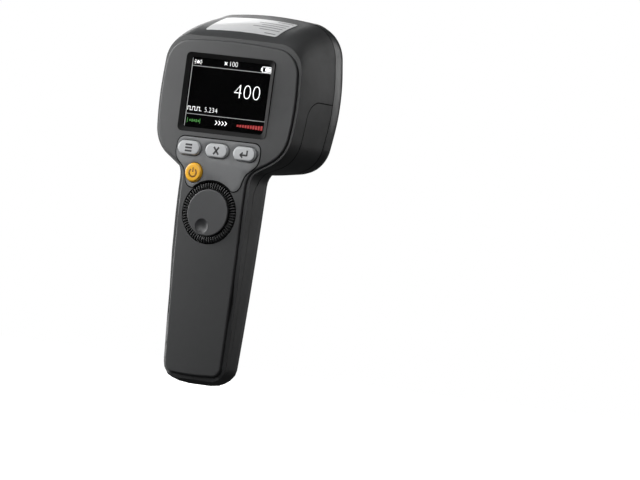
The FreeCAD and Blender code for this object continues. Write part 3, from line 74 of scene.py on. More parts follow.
MM = 0.001
SCREEN_RISE = 115.0
FACE_SETBACK = 17.0
QUARTER_TURN = math.pi / 2.0
ROOT_BODY = "instrument"
KEY_NODES = ("key_left", "key_middle", "key_right", "power_key")

TYPE_SHARE = 0.7
TYPE_THICK = 0.003
TYPE_SUNK = 0.03

Colour = tuple[float, float, float]
Row = Sequence[float]
EdgeTest = Callable[[Vector, Sequence[Vector]], Optional[Vector]]
log = logging.getLogger("stroboscope")


# ---------------------------------------------------------------- modelling bench

def spot(across: float, depth: float, height: float) -> Vector:
    """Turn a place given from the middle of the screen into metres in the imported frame.

    Args:
        across: Millimetres to the user's right.
        depth: Millimetres forward from the rear face.
        height: Millimetres up from the middle of the screen.

    Returns:
        The same place in metres.
    """
    return Vector((across, depth - FACE_SETBACK, height + SCREEN_RISE)) * MM


@dataclass(frozen=True)
class Extent:
    """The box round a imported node.

    Attributes:
        low: Its lowest corner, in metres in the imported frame.
        high: Its highest corner.
    """

    low: Sequence[float]
    high: Sequence[float]

    @classmethod
    def of(cls, node: str) -> "Extent":
        """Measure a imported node."""
        return cls(*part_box(node))

    @property
    def across(self) -> float:
        """Its middle across, in millimetres."""
        return (self.low[0] + self.high[0]) / 2.0 / MM

    @property
    def height(self) -> float:
        """Its middle in height, in millimetres."""
        return (self.low[2] + self.high[2]) / 2.0 / MM - SCREEN_RISE

    @property
    def front(self) -> float:
        """The depth of its end towards the user, in millimetres."""
        return self.low[1] / MM + FACE_SETBACK

    @property
    def back(self) -> float:
        """The depth of its end towards the light, in millimetres."""
        return self.high[1] / MM + FACE_SETBACK

    @property
    def half_wide(self) -> float:
        """Half its width in millimetres."""
        return (self.high[0] - self.low[0]) / 2.0 / MM

    @property
    def half_tall(self) -> float:
        """Half its height in millimetres."""
        return (self.high[2] - self.low[2]) / 2.0 / MM

    def holds(self, place: Vector, room: float) -> bool:
        """Tell whether the user sees a place inside the box or less than some millimetres beside it."""
        return all(self.low[axis] - room * MM < place[axis] < self.high[axis] + room * MM for axis in (0, 2))


def put_down() -> None:
    """Leave edit mode and deselect everything."""
    if bpy.context.object and bpy.context.object.mode != "OBJECT":
        bpy.ops.object.mode_set(mode="OBJECT")
    bpy.ops.object.select_all(action="DESELECT")


def take_up(piece: bpy.types.Object) -> None:
    """Select one piece alone and make it the active one.

    Args:
        piece: The piece.
    """
    put_down()
    piece.select_set(True)
    bpy.context.view_layer.objects.active = piece


@contextmanager
def shaping(piece: bpy.types.Object, mode: str = "VERT", whole: bool = False) -> Iterator[None]:
    """Keep a piece in edit mode for the length of a block.

    Args:
        piece: The piece to shape.
        mode: What is selected in it: VERT, EDGE or FACE.
        whole: Whether all of it is selected first.

    Yields:
        Nothing, once the piece is in edit mode.
    """
    take_up(piece)
    bpy.ops.object.mode_set(mode="EDIT")
    bpy.ops.mesh.select_mode(type=mode)
    if whole:
        bpy.ops.mesh.select_all(action="SELECT")
    try:
        yield
    finally:
        bpy.ops.object.mode_set(mode="OBJECT")


def choose(piece: bpy.types.Object, kind: str, flags: Sequence[bool]) -> None:
    """Select some points, edges or faces of a piece and nothing else of it.

    Args:
        piece: The piece, in object mode.
        kind: What the flags stand for: vertices, edges or polygons.
        flags: For each of them, whether it is selected.
    """
    for name in ("vertices", "edges", "polygons"):
        parts = getattr(piece.data, name)
        parts.foreach_set("select", flags if name == kind else [False] * len(parts))


def pick_points(piece: bpy.types.Object, wanted: Callable[[Vector], bool]) -> None:
    """Select the points of a piece whose place in metres passes a test."""
    choose(piece, "vertices", [wanted(point.co) for point in piece.data.vertices])


def pick_faces(piece: bpy.types.Object, wanted: Callable[[Vector, Vector], bool]) -> None:
    """Select the faces of a piece whose middle, in metres, and normal pass a test."""
    choose(piece, "polygons", [wanted(side.center, side.normal) for side in piece.data.polygons])


def settle(piece: bpy.types.Object) -> bpy.types.Object:
    """Bring a piece's place, turn and scale into its mesh, so that its object sits at the origin.

    Args:
        piece: The piece.

    Returns:
        The same piece.
    """
    take_up(piece)
    bpy.ops.object.transform_apply(location=True, rotation=True, scale=True)
    return piece


def apply_modifiers(piece: bpy.types.Object) -> None:
    """Apply every modifier of a piece in order.

    Args:
        piece: The piece.
    """
    take_up(piece)
    for name in [modifier.name for modifier in piece.modifiers]:
        bpy.ops.object.modifier_apply(modifier=name)


def merge_points(piece: bpy.types.Object, distance: float = 1e-6) -> None:
    """Merge the points of a piece that lie within a distance, in metres, of each other."""
    with shaping(piece, whole=True):
        bpy.ops.mesh.remove_doubles(threshold=distance)


def face_outwards(piece: bpy.types.Object) -> None:
    """Turn every face of a closed piece outwards."""
    with shaping(piece, whole=True):
        bpy.ops.mesh.normals_make_consistent(inside=False)


def smooth(piece: bpy.types.Object, angle: float, weighted: bool = False) -> None:
    """Shade a piece smoothly wherever its faces meet at less than an angle.

    Args:
        piece: The piece to shade.
        angle: The angle in degrees.
        weighted: Whether large faces lead the shading.
    """
    take_up(piece)
    bpy.ops.object.shade_smooth_by_angle(angle=math.radians(angle))
    if weighted:
        modifier = piece.modifiers.new("face weight", "WEIGHTED_NORMAL")
        modifier.keep_sharp = True
        modifier.weight = 60
        apply_modifiers(piece)


def round_edges(piece: bpy.types.Object, width: float, steps: int = 2, angle: float = 40.0) -> None:
    """Round the sharp edges of a piece.

    Args:
        piece: The piece to finish.
        width: The width of the rounding in millimetres.
        steps: The number of faces across it.
        angle: Edges that turn by more than this many degrees are rounded.
    """
    modifier = piece.modifiers.new("edge round", "BEVEL")
    modifier.width = width * MM
    modifier.segments = steps
    modifier.limit_method = "ANGLE"
    modifier.angle_limit = math.radians(angle)
    modifier.harden_normals = False
    apply_modifiers(piece)


def join(pieces: Sequence[bpy.types.Object]) -> bpy.types.Object:
    """Join pieces into the first of them.

    Args:
        pieces: The pieces.

    Returns:
        The one piece that is left.
    """
    take_up(pieces[0])
    for piece in pieces[1:]:
        piece.select_set(True)
    if len(pieces) > 1:
        bpy.ops.object.join()
    return bpy.context.view_layer.objects.active


def grow_loops(piece: bpy.types.Object, middle: Vector, steps: Sequence[tuple[float, float, float]],
               closed: bool) -> bpy.types.Object:
    """Extrude an open outline again and again, each time scaled about a middle and moved forward.

    Args:
        piece: A piece that is one loop of edges facing the screen.
        middle: The point that the loop is scaled about, in metres.
        steps: For each extrusion the scale across, the scale up and the move forward in millimetres.
        closed: Whether the last loop lies on the first one, so that the two are merged.

    Returns:
        The same piece, closed or ended in poles.
    """
    with shaping(piece, whole=True):
        for across, up, forward in steps:
            bpy.ops.mesh.extrude_region_move(TRANSFORM_OT_translate={"value": (0.0, forward * MM, 0.0)})
            bpy.ops.transform.resize(value=(across, 1.0, up), center_override=middle)
    merge_points(piece, 2e-6)
    if closed:
        face_outwards(piece)
    return piece


def turned(name: str, profile: Sequence[tuple[float, float]], segments: int, across: float, height: float,
           closed: bool) -> bpy.types.Object:
    """Turn a profile about an axis that runs forward.

    Args:
        name: The piece's name.
        profile: Pairs of radius and depth in millimetres, in order along the outline.
        segments: The number of faces round the piece.
        across: Where the axis lies across, in millimetres.
        height: Where the axis lies in height, in millimetres.
        closed: Whether the profile ends where it starts.

    Returns:
        The turned piece.
    """
    radius, depth = profile[0]
    put_down()
    middle = spot(across, depth, height)
    bpy.ops.mesh.primitive_circle_add(vertices=segments, radius=radius * MM, fill_type="NOTHING",
                                      location=middle, rotation=(QUARTER_TURN, 0.0, 0.0))
    piece = settle(bpy.context.object)
    piece.name = name
    steps = [(after / before, after / before, far - near)
             for (before, near), (after, far) in zip(profile, profile[1:])]
    return grow_loops(piece, middle, steps, closed)


def bar(across: float, height: float, wide: float, tall: float, front: float, thick: float,
        turn: float = 0.0) -> bpy.types.Object:
    """Make one flat bar that faces the user.

    Args:
        across: The bar's middle across, in millimetres.
        height: The bar's middle in height, in millimetres.
        wide: Its width in millimetres.
        tall: Its height in millimetres.
        front: The depth of its front, in millimetres.
        thick: Its thickness in millimetres.
        turn: Its turn in degrees.

    Returns:
        The bar.
    """
    put_down()
    bpy.ops.mesh.primitive_cube_add(size=1.0, location=spot(across, front + thick / 2.0, height),
                                    rotation=(0.0, math.radians(turn), 0.0),
                                    scale=(wide * MM, thick * MM, tall * MM))
    return settle(bpy.context.object)


def bars(rows: Sequence[Row], front: float, thick: float, across: float = 0.0,
         height: float = 0.0) -> list[bpy.types.Object]:
    """Make flat bars that face the user.

    Args:
        rows: Each bar's place across and in height, its width, its height and, where it has one, its turn.
        front: The depth of their fronts.
        thick: Their thickness.
        across: The place across that the rows are counted from.
        height: The place in height that the rows are counted from.

    Returns:
        The bars.
    """
    return [bar(across + right, height + up, wide, tall, front, thick, *turn)
            for right, up, wide, tall, *turn in rows]


def figures(text: str, across: float, height: float, tall: float, front: float,
            weight: float) -> bpy.types.Object:
    """Write plain figures that face the user.

    Args:
        text: The figures.
        across: Their middle across, in millimetres.
        height: Their middle in height, in millimetres.
        tall: The height of a figure in millimetres.
        front: The depth of their front, in millimetres.
        weight: How much the strokes are thickened, in millimetres.

    Returns:
        The figures as one mesh.
    """
    put_down()
    bpy.ops.object.text_add()
    written = bpy.context.object
    written.data.body = text
    written.data.align_x = "CENTER"
    written.data.size = 1.0
    written.data.offset = weight / tall * TYPE_SHARE
    written.data.extrude = TYPE_THICK
    written.data.resolution_u = 4
    bpy.ops.object.convert(target="MESH")
    written = bpy.context.object
    levels = [point.co.y for point in written.data.vertices]
    foot = min(levels)
    scale = tall * MM / (max(levels) - foot)
    written.rotation_euler = (QUARTER_TURN, 0.0, 0.0)
    written.scale = (scale, scale, scale)
    raised = Vector((0.0, 0.0, tall * MM / 2.0 + foot * scale))
    written.location = spot(across, front + TYPE_SUNK, height) - raised
    settle(written)
    merge_points(written, 1e-7)
    return written


# ---------------------------------------------------------------- shader bench

class Graph:
    """Adds and joins nodes in one shader tree."""

    def __init__(self, tree: bpy.types.NodeTree) -> None:
        """Start with a tree and a place for its first node."""
        self.tree = tree
        self.column = 0

    def add(self, kind: str, **settings: object) -> bpy.types.Node:
        """Add a node.

        Args:
            kind: The node's type.
            settings: Properties of the node.

        Returns:
            The new node.
        """
        node = self.tree.nodes.new(kind)
        for name, value in settings.items():
            setattr(node, name, value)
        node.location = (self.column * 180.0, 0.0)
        self.column += 1
        return node

    def join(self, source: bpy.types.NodeSocket, target: bpy.types.NodeSocket) -> None:
        """Join an output to an input."""
        self.tree.links.new(source, target)

    def feed(self, target: bpy.types.NodeSocket, value: object) -> None:
        """Join a socket to an input, or write a plain value on it.

        Args:
            target: The input.
            value: The socket or the value.
        """
        if isinstance(value, bpy.types.NodeSocket):
            self.join(value, target)
        else:
            target.default_value = value

    def sum_up(self, operation: str, first: object, second: object = 0.0, third: object = 0.0,
               clamp: bool = False) -> bpy.types.NodeSocket:
        """Add a node that works one number out of up to three.

        Args:
            operation: The kind of sum, as the node names it.
            first: The first number or socket.
            second: The second one.
            third: The third one.
            clamp: Whether the result is kept between 0 and 1.

        Returns:
            The result's socket.
        """
        node = self.add("ShaderNodeMath", operation=operation, use_clamp=clamp)
        for socket, value in zip(node.inputs, (first, second, third)):
            self.feed(socket, value)
        return node.outputs[0]

    def span(self, value: bpy.types.NodeSocket, low: float, high: float, to_low: object = 0.0,
             to_high: object = 1.0, soft: bool = False) -> bpy.types.NodeSocket:
        """Add a node that spreads one range of numbers over another.

        Args:
            value: The socket to spread.
            low: The start of its range.
            high: The end of its range.
            to_low: What the start becomes.
            to_high: What the end becomes.
            soft: Whether the ends are eased.

        Returns:
            The result's socket.
        """
        node = self.add("ShaderNodeMapRange", clamp=True,
                        interpolation_type="SMOOTHSTEP" if soft else "LINEAR")
        for name, number in (("Value", value), ("From Min", low), ("From Max", high), ("To Min", to_low),
                             ("To Max", to_high)):
            self.feed(node.inputs[name], number)
        return node.outputs["Result"]

    def blend(self, share: object, first: object, second: object) -> bpy.types.NodeSocket:
        """Add a node that mixes two colours by a share.

        Args:
            share: The second colour's share.
            first: The first colour.
            second: The second colour.

        Returns:
            The mixed colour's socket.
        """
        node = self.add("ShaderNodeMix", data_type="RGBA")
        self.feed(node.inputs["Factor"], share)
        sockets = [socket for socket in node.inputs if socket.type == "RGBA"]
        for socket, value in zip(sockets, (first, second)):
            self.feed(socket, value if isinstance(value, bpy.types.NodeSocket) else (*value, 1.0))
        return [socket for socket in node.outputs if socket.type == "RGBA"][0]

    def noise(self, place: bpy.types.NodeSocket, scale: object, detail: float = 3.0,
              roughness: float = 0.55) -> bpy.types.NodeSocket:
        """Add a cloudy pattern and give its value.

        Args:
            place: The coordinates.
            scale: The pattern's scale.
            detail: How many finer layers it has.
            roughness: How strong those layers are.

        Returns:
            The value's socket.
        """
        node = self.add("ShaderNodeTexNoise")
        self.join(place, node.inputs["Vector"])
        self.feed(node.inputs["Scale"], scale)
        node.inputs["Detail"].default_value = detail
        node.inputs["Roughness"].default_value = roughness
        return node.outputs["Fac"]


def bare_graph(owner: bpy.types.ID) -> Graph:
    """Empty the shader tree of a material or world and give its graph.

    Args:
        owner: The material or world.

    Returns:
        Its graph.
    """
    owner.use_nodes = True
    owner.node_tree.nodes.clear()
    return Graph(owner.node_tree)


class Effect(Enum):
    """The shared effects, each a shader node group that is built once."""

    GRAIN = "Moulded grain"
    BRUSHED = "Brushed lines"
    ROUNDED = "Rounded edge"
    HANDLING = "Handling"
    LENS_LIGHT = "Light round the lenses"

    def group(self) -> bpy.types.NodeTree:
        """Give the effect's node group, built when first asked for.

        Returns:
            The node group.
        """
        known = bpy.data.node_groups.get(self.value)
        if known:
            return known
        tree = bpy.data.node_groups.new(self.value, "ShaderNodeTree")
        {Effect.GRAIN: fill_grain, Effect.BRUSHED: fill_brushed, Effect.ROUNDED: fill_rounded,
         Effect.HANDLING: fill_handling, Effect.LENS_LIGHT: fill_lens_light}[self](tree)
        return tree


def open_group(tree: bpy.types.NodeTree, numbers: dict[str, float],
               results: dict[str, str]) -> tuple[Graph, bpy.types.Node, bpy.types.Node]:
    """Give a node group its named sockets.

    Args:
        tree: The empty group.
        numbers: The names of its number inputs and their usual values.
        results: The names of its outputs and their socket types.

    Returns:
        The graph, its input node and its output node.
    """
    for name, value in numbers.items():
        socket = tree.interface.new_socket(name=name, in_out="INPUT", socket_type="NodeSocketFloat")
        socket.default_value = value
    for name, kind in results.items():
        tree.interface.new_socket(name=name, in_out="OUTPUT", socket_type=kind)
    graph = Graph(tree)
    return graph, graph.add("NodeGroupInput"), graph.add("NodeGroupOutput")


def scaled_place(graph: Graph, pitch: object, stretch: Colour = (1.0, 1.0, 1.0)) -> bpy.types.NodeSocket:
    """Give Object coordinates counted in a pattern's own pitch, stretched along an axis if wanted.

    Args:
        graph: The shader tree.
        pitch: The pattern's pitch in metres, as a number or a socket.
        stretch: The rates along the three axes.

    Returns:
        The coordinates' socket.
    """
    place = graph.add("ShaderNodeTexCoord").outputs["Object"]
    rate = graph.sum_up("DIVIDE", 1.0, pitch)
    node = graph.add("ShaderNodeVectorMath", operation="SCALE")
    graph.join(place, node.inputs[0])
    graph.join(rate, node.inputs["Scale"])
    if stretch == (1.0, 1.0, 1.0):
        return node.outputs[0]
    wider = graph.add("ShaderNodeVectorMath", operation="MULTIPLY")
    graph.join(node.outputs[0], wider.inputs[0])
    wider.inputs[1].default_value = stretch
    return wider.outputs[0]


def fill_grain(tree: bpy.types.NodeTree) -> None:
    """Fine spark-eroded grain of moulded plastic: rounded grains with a finer roughness on them.

    Args:
        tree: The empty node group.
    """
    graph, start, end = open_group(tree, {"Pitch": 0.0006, "Depth": 0.00001},
                                   {"Height": "NodeSocketFloat", "Mask": "NodeSocketFloat"})
    place = scaled_place(graph, start.outputs["Pitch"])
    grains = graph.add("ShaderNodeTexVoronoi", feature="SMOOTH_F1")
    graph.join(place, grains.inputs["Vector"])
    grains.inputs["Scale"].default_value = 1.0
    grains.inputs["Smoothness"].default_value = 0.6
    fine = graph.noise(place, 2.3, detail=2.0)
    both = graph.sum_up("MULTIPLY_ADD", fine, 0.45, grains.outputs["Distance"])
    graph.join(both, end.inputs["Mask"])
    graph.join(graph.sum_up("MULTIPLY", both, start.outputs["Depth"]), end.inputs["Height"])


def fill_brushed(tree: bpy.types.NodeTree) -> None:
    """Long fine lines of brushed or drawn metal and film.

    Args:
        tree: The empty node group.
    """
    graph, start, end = open_group(tree, {"Pitch": 0.0003, "Depth": 0.000004},
                                   {"Height": "NodeSocketFloat", "Mask": "NodeSocketFloat"})
    place = scaled_place(graph, start.outputs["Pitch"], (0.04, 1.0, 1.0))
    lines = graph.noise(place, 1.0, detail=4.0, roughness=0.7)
    graph.join(lines, end.inputs["Mask"])
    graph.join(graph.sum_up("MULTIPLY", lines, start.outputs["Depth"]), end.inputs["Height"])


def fill_rounded(tree: bpy.types.NodeTree) -> None:
    """Small roundings on hard edges, and a mask of where handling polishes them.

    Args:
        tree: The empty node group.
    """
    graph, start, end = open_group(tree, {"Radius": 0.0003, "Patch size": 0.006},
                                   {"Normal": "NodeSocketVector", "Mask": "NodeSocketFloat"})
    rounded = graph.add("ShaderNodeBevel", samples=6)
    graph.join(start.outputs["Radius"], rounded.inputs["Radius"])
    graph.join(rounded.outputs["Normal"], end.inputs["Normal"])
    flat = graph.add("ShaderNodeNewGeometry")
    turn = graph.add("ShaderNodeVectorMath", operation="DOT_PRODUCT")
    graph.join(rounded.outputs["Normal"], turn.inputs[0])
    graph.join(flat.outputs["Normal"], turn.inputs[1])
    edge = graph.span(graph.sum_up("SUBTRACT", 1.0, turn.outputs["Value"]), 0.015, 0.16, soft=True)
    patches = graph.noise(scaled_place(graph, start.outputs["Patch size"]), 1.0, detail=4.0, roughness=0.65)
    kept = graph.span(patches, 0.34, 0.66)
    graph.join(graph.sum_up("MULTIPLY", edge, kept, clamp=True), end.inputs["Mask"])


def fill_handling(tree: bpy.types.NodeTree) -> None:
    """Slow changes of tone where a surface has been held, with finer smudges inside them.

    Args:
        tree: The empty node group.
    """
    graph, start, end = open_group(tree, {"Patch size": 0.03}, {"Mask": "NodeSocketFloat"})
    place = scaled_place(graph, start.outputs["Patch size"])
    wide = graph.noise(place, 1.0, detail=2.0)
    fine = graph.noise(place, 7.0, detail=5.0, roughness=0.6)
    both = graph.sum_up("MULTIPLY_ADD", fine, 0.35, graph.sum_up("MULTIPLY", wide, 0.65))
    graph.join(graph.span(both, 0.3, 0.7), end.inputs["Mask"])


def fill_lens_light(tree: bpy.types.NodeTree) -> None:
    """The distance from the middle of the nearest of the nine lenses, in metres.

    Args:
        tree: The empty node group.
    """
    low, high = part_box("led_lens_5")
    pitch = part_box("led_lens_6")[0][0] - low[0]
    graph, _, end = open_group(tree, {}, {"Distance": "NodeSocketFloat"})
    apart = graph.add("ShaderNodeSeparateXYZ")
    graph.join(graph.add("ShaderNodeTexCoord").outputs["Object"], apart.inputs[0])
    squares = []
    for axis, middle in (("X", (low[0] + high[0]) / 2.0), ("Z", (low[2] + high[2]) / 2.0)):
        place = graph.sum_up("SUBTRACT", apart.outputs[axis], middle)
        number = graph.sum_up("ROUND", graph.sum_up("DIVIDE", place, pitch))
        number = graph.sum_up("MINIMUM", graph.sum_up("MAXIMUM", number, -1.0), 1.0)
        off = graph.sum_up("SUBTRACT", place, graph.sum_up("MULTIPLY", number, pitch))
        squares.append(graph.sum_up("MULTIPLY", off, off))
    graph.join(graph.sum_up("SQRT", graph.sum_up("ADD", squares[0], squares[1])), end.inputs["Distance"])


# ---------------------------------------------------------------- finishes

@dataclass(frozen=True)
class Surface:
    """What every finish has: a shader whose colour, roughness and normal vary over the surface.

    Attributes:
        colour: The plain colour, linear.
        roughness: The middle roughness.
        spread: How far handling moves the roughness either way.
        mottle: How far handling moves the colour either way, as a share.
        patch: The size of handling patches in millimetres.
        pattern: The fine relief.
        pitch: The pitch of the fine relief in millimetres.
        depth: The depth of the fine relief in millimetres.
        edge_radius: The rounding of hard edges in millimetres.
        edge_colour: The colour of polished edges.
        edge_wear: How strongly that colour shows.
        metallic: Whether it is metal, 0 or 1.
        level: The specular level.
        coat: The weight of a clear coat.
        coat_roughness: The roughness of that coat.
    """

    colour: Colour
    roughness: float
    spread: float = 0.05
    mottle: float = 0.08
    patch: float = 26.0
    pattern: Effect = Effect.GRAIN
    pitch: float = 0.5
    depth: float = 0.010
    edge_radius: float = 0.25
    edge_colour: Optional[Colour] = None
    edge_wear: float = 0.25
    metallic: float = 0.0
    level: float = 0.5
    coat: float = 0.0
    coat_roughness: float = 0.1

    def use(self, graph: Graph, effect: Effect, **values: float) -> bpy.types.Node:
        """Place an effect in a material with its own values.

        Args:
            graph: The material's shader tree.
            effect: The effect.
            values: What its inputs are set to.

        Returns:
            The effect's node.
        """
        node = graph.add("ShaderNodeGroup", node_tree=effect.group())
        for name, value in values.items():
            node.inputs[name.replace("_", " ")].default_value = value
        return node

    def dress(self, graph: Graph, shader: bpy.types.Node) -> None:
        """Feed the shader with colour, roughness and normal.

        Args:
            graph: The material's graph.
            shader: Its Principled node.
        """
        handling = self.use(graph, Effect.HANDLING, Patch_size=self.patch * MM).outputs["Mask"]
        rounded = self.use(graph, Effect.ROUNDED, Radius=self.edge_radius * MM)
        relief = self.use(graph, self.pattern, Pitch=self.pitch * MM, Depth=self.depth * MM)
        dim = tuple(value * (1.0 - self.mottle) for value in self.colour)
        bright = tuple(min(1.0, value * (1.0 + self.mottle)) for value in self.colour)
        tone = graph.blend(handling, dim, bright)
        if self.edge_wear > 0.0:
            polished = self.edge_colour or tuple(min(1.0, value * 1.7 + 0.01) for value in self.colour)
            worn = graph.sum_up("MULTIPLY", rounded.outputs["Mask"], self.edge_wear)
            tone = graph.blend(worn, tone, polished)
        graph.join(tone, shader.inputs["Base Color"])
        rough = graph.span(handling, 0.0, 1.0, self.roughness + self.spread, self.roughness - self.spread)
        graph.join(rough, shader.inputs["Roughness"])
        bump = graph.add("ShaderNodeBump")
        bump.inputs["Strength"].default_value = 1.0
        bump.inputs["Distance"].default_value = 1.0
        graph.join(relief.outputs["Height"], bump.inputs["Height"])
        graph.join(rounded.outputs["Normal"], bump.inputs["Normal"])
        graph.join(bump.outputs["Normal"], shader.inputs["Normal"])

    def material(self, name: str) -> bpy.types.Material:
        """Build the finish as a material.

        Args:
            name: The material's name.

        Returns:
            The material.
        """
        made = bpy.data.materials.new(name)
        graph = bare_graph(made)
        shader = graph.add("ShaderNodeBsdfPrincipled")
        for socket, value in (("Metallic", self.metallic), ("Specular IOR Level", self.level),
                              ("Coat Weight", self.coat), ("Coat Roughness", self.coat_roughness)):
            shader.inputs[socket].default_value = value
        self.dress(graph, shader)
        graph.join(shader.outputs[0], graph.add("ShaderNodeOutputMaterial").inputs["Surface"])
        return made


@dataclass(frozen=True)
class Metal(Surface):
    """A brushed, turned or drawn metal."""

    pattern: Effect = Effect.BRUSHED
    metallic: float = 1.0


@dataclass(frozen=True)
class Ink(Surface):
    """A printed colour, too thin to have edges that wear."""

    pitch: float = 0.2
    depth: float = 0.004
    edge_wear: float = 0.0


@dataclass(frozen=True)
class Clear(Surface):
    """A clear pane: it shows what lies behind it and mirrors more the flatter it is seen.

    Attributes:
        straight: How far it mirrors when seen straight on.
        flat: How much more it mirrors when seen along its surface.
        fall: How fast that fades towards the straight view.
    """

    straight: float = 0.005
    flat: float = 0.9
    fall: float = 5.0

    def dress(self, graph: Graph, shader: bpy.types.Node) -> None:
        """Let the pane be seen only as far as it mirrors, with faint smears.

        Args:
            graph: The material's shader tree.
            shader: Its main shader.
        """
        super().dress(graph, shader)
        tilt = graph.add("ShaderNodeLayerWeight")
        tilt.inputs["Blend"].default_value = 0.5
        steep = graph.sum_up("POWER", tilt.outputs["Facing"], self.fall)
        graph.join(graph.sum_up("MULTIPLY_ADD", steep, self.flat, self.straight), shader.inputs["Alpha"])


@dataclass(frozen=True)
class Glow(Surface):
    """A lit mark on the screen, or a lit chip.

    Attributes:
        light: The strength of its light.
        dot: The pitch of the picture's dots in millimetres.
    """

    edge_wear: float = 0.0
    light: float = 1.0
    dot: float = 0.22

    def dress(self, graph: Graph, shader: bpy.types.Node) -> None:
        """Light the mark, slightly uneven as a panel's picture dots are.

        Args:
            graph: The material's shader tree.
            shader: Its main shader.
        """
        super().dress(graph, shader)
        dots = self.use(graph, Effect.GRAIN, Pitch=self.dot * MM, Depth=0.0)
        share = graph.span(dots.outputs["Mask"], 0.2, 0.9, 0.0, 0.25)
        dim = tuple(value * 0.6 for value in self.colour)
        graph.join(graph.blend(share, self.colour, dim), shader.inputs["Emission Color"])
        shader.inputs["Emission Strength"].default_value = self.light


@dataclass(frozen=True)
class LitLens(Surface):
    """A lens that is lit from behind: brightest in its outer ring, calmer over the emitter.

    Attributes:
        light: The strength of its light.
        reach: The radius of the last stop in millimetres.
        stops: The light's colour at shares of that radius.
        cloud: The colour of the faint clouds in it.
        cloud_size: Their size in millimetres.
    """

    light: float = 0.82
    reach: float = 11.5
    stops: tuple[tuple[float, Colour], ...] = (
        (0.0, (0.52, 0.58, 0.44)), (0.20, (0.50, 0.55, 0.46)), (0.40, (0.60, 0.64, 0.59)),
        (0.52, (0.84, 0.86, 0.83)), (0.64, (0.56, 0.58, 0.56)), (0.80, (0.88, 0.90, 0.88)),
        (0.90, (0.60, 0.61, 0.61)), (1.0, (0.92, 0.93, 0.93)))
    cloud: Colour = (0.55, 0.58, 0.55)
    cloud_size: float = 2.2

    def dress(self, graph: Graph, shader: bpy.types.Node) -> None:
        """Light the lens by the distance from its middle.

        Args:
            graph: The material's shader tree.
            shader: Its main shader.
        """
        super().dress(graph, shader)
        away = self.use(graph, Effect.LENS_LIGHT).outputs["Distance"]
        ramp = graph.add("ShaderNodeValToRGB")
        graph.join(graph.sum_up("DIVIDE", away, self.reach * MM), ramp.inputs["Fac"])
        elements = ramp.color_ramp.elements
        while len(elements) < len(self.stops):
            elements.new(0.5)
        for element, (place, colour) in zip(elements, self.stops):
            element.position = place
            element.color = (*colour, 1.0)
        clouds = graph.noise(scaled_place(graph, self.cloud_size * MM), 1.0, detail=3.0)
        share = graph.span(clouds, 0.35, 0.7, 0.0, 0.22)
        graph.join(graph.blend(share, ramp.outputs["Color"], self.cloud), shader.inputs["Emission Color"])
        shader.inputs["Emission Strength"].default_value = self.light


@dataclass(frozen=True)
class PaintedGlowPlate(Surface):
    """The gloss plate between the lenses, with the lenses' stray light painted on it as a glow.

    Attributes:
        near: The distance from a lens's middle at which the painted glow starts to fade, in millimetres.
        far: The distance at which it ends.
        fall: How fast it fades.
        stray: Its colour.
        light: Its strength.
    """

    near: float = 11.6
    far: float = 16.5
    fall: float = 3.2
    stray: Colour = (0.80, 0.83, 0.80)
    light: float = 0.8

    def dress(self, graph: Graph, shader: bpy.types.Node) -> None:
        """Paint the lenses' stray light on as a glow that fades with the distance from a lens.

        Args:
            graph: The material's shader tree.
            shader: Its main shader.
        """
        super().dress(graph, shader)
        away = self.use(graph, Effect.LENS_LIGHT).outputs["Distance"]
        # painted light: emission round each lens, standing in for stray light falling on the plate
        soft = graph.sum_up("POWER", graph.span(away, self.near * MM, self.far * MM, 1.0, 0.0), self.fall)
        graph.join(graph.blend(soft, (0.0, 0.0, 0.0), self.stray), shader.inputs["Emission Color"])
        shader.inputs["Emission Strength"].default_value = self.light


@dataclass(frozen=True)
class Board(Surface):
    """A circuit board: solder mask with rows of fine tracks.

    Attributes:
        track: The size of a field between tracks in millimetres.
    """

    depth: float = 0.004
    track: float = 3.0

    def dress(self, graph: Graph, shader: bpy.types.Node) -> None:
        """Lay lighter tracks over the board's colour.

        Args:
            graph: The material's shader tree.
            shader: Its main shader.
        """
        super().dress(graph, shader)
        tracks = graph.add("ShaderNodeTexBrick")
        graph.join(scaled_place(graph, self.track * MM), tracks.inputs["Vector"])
        tracks.inputs["Scale"].default_value = 1.0
        tracks.inputs["Mortar Size"].default_value = 0.06
        for socket, share in (("Color1", 1.0), ("Color2", 0.8), ("Mortar", 1.6)):
            tone = tuple(min(1.0, value * share) for value in self.colour)
            tracks.inputs[socket].default_value = (*tone, 1.0)
        graph.join(tracks.outputs["Color"], shader.inputs["Base Color"])


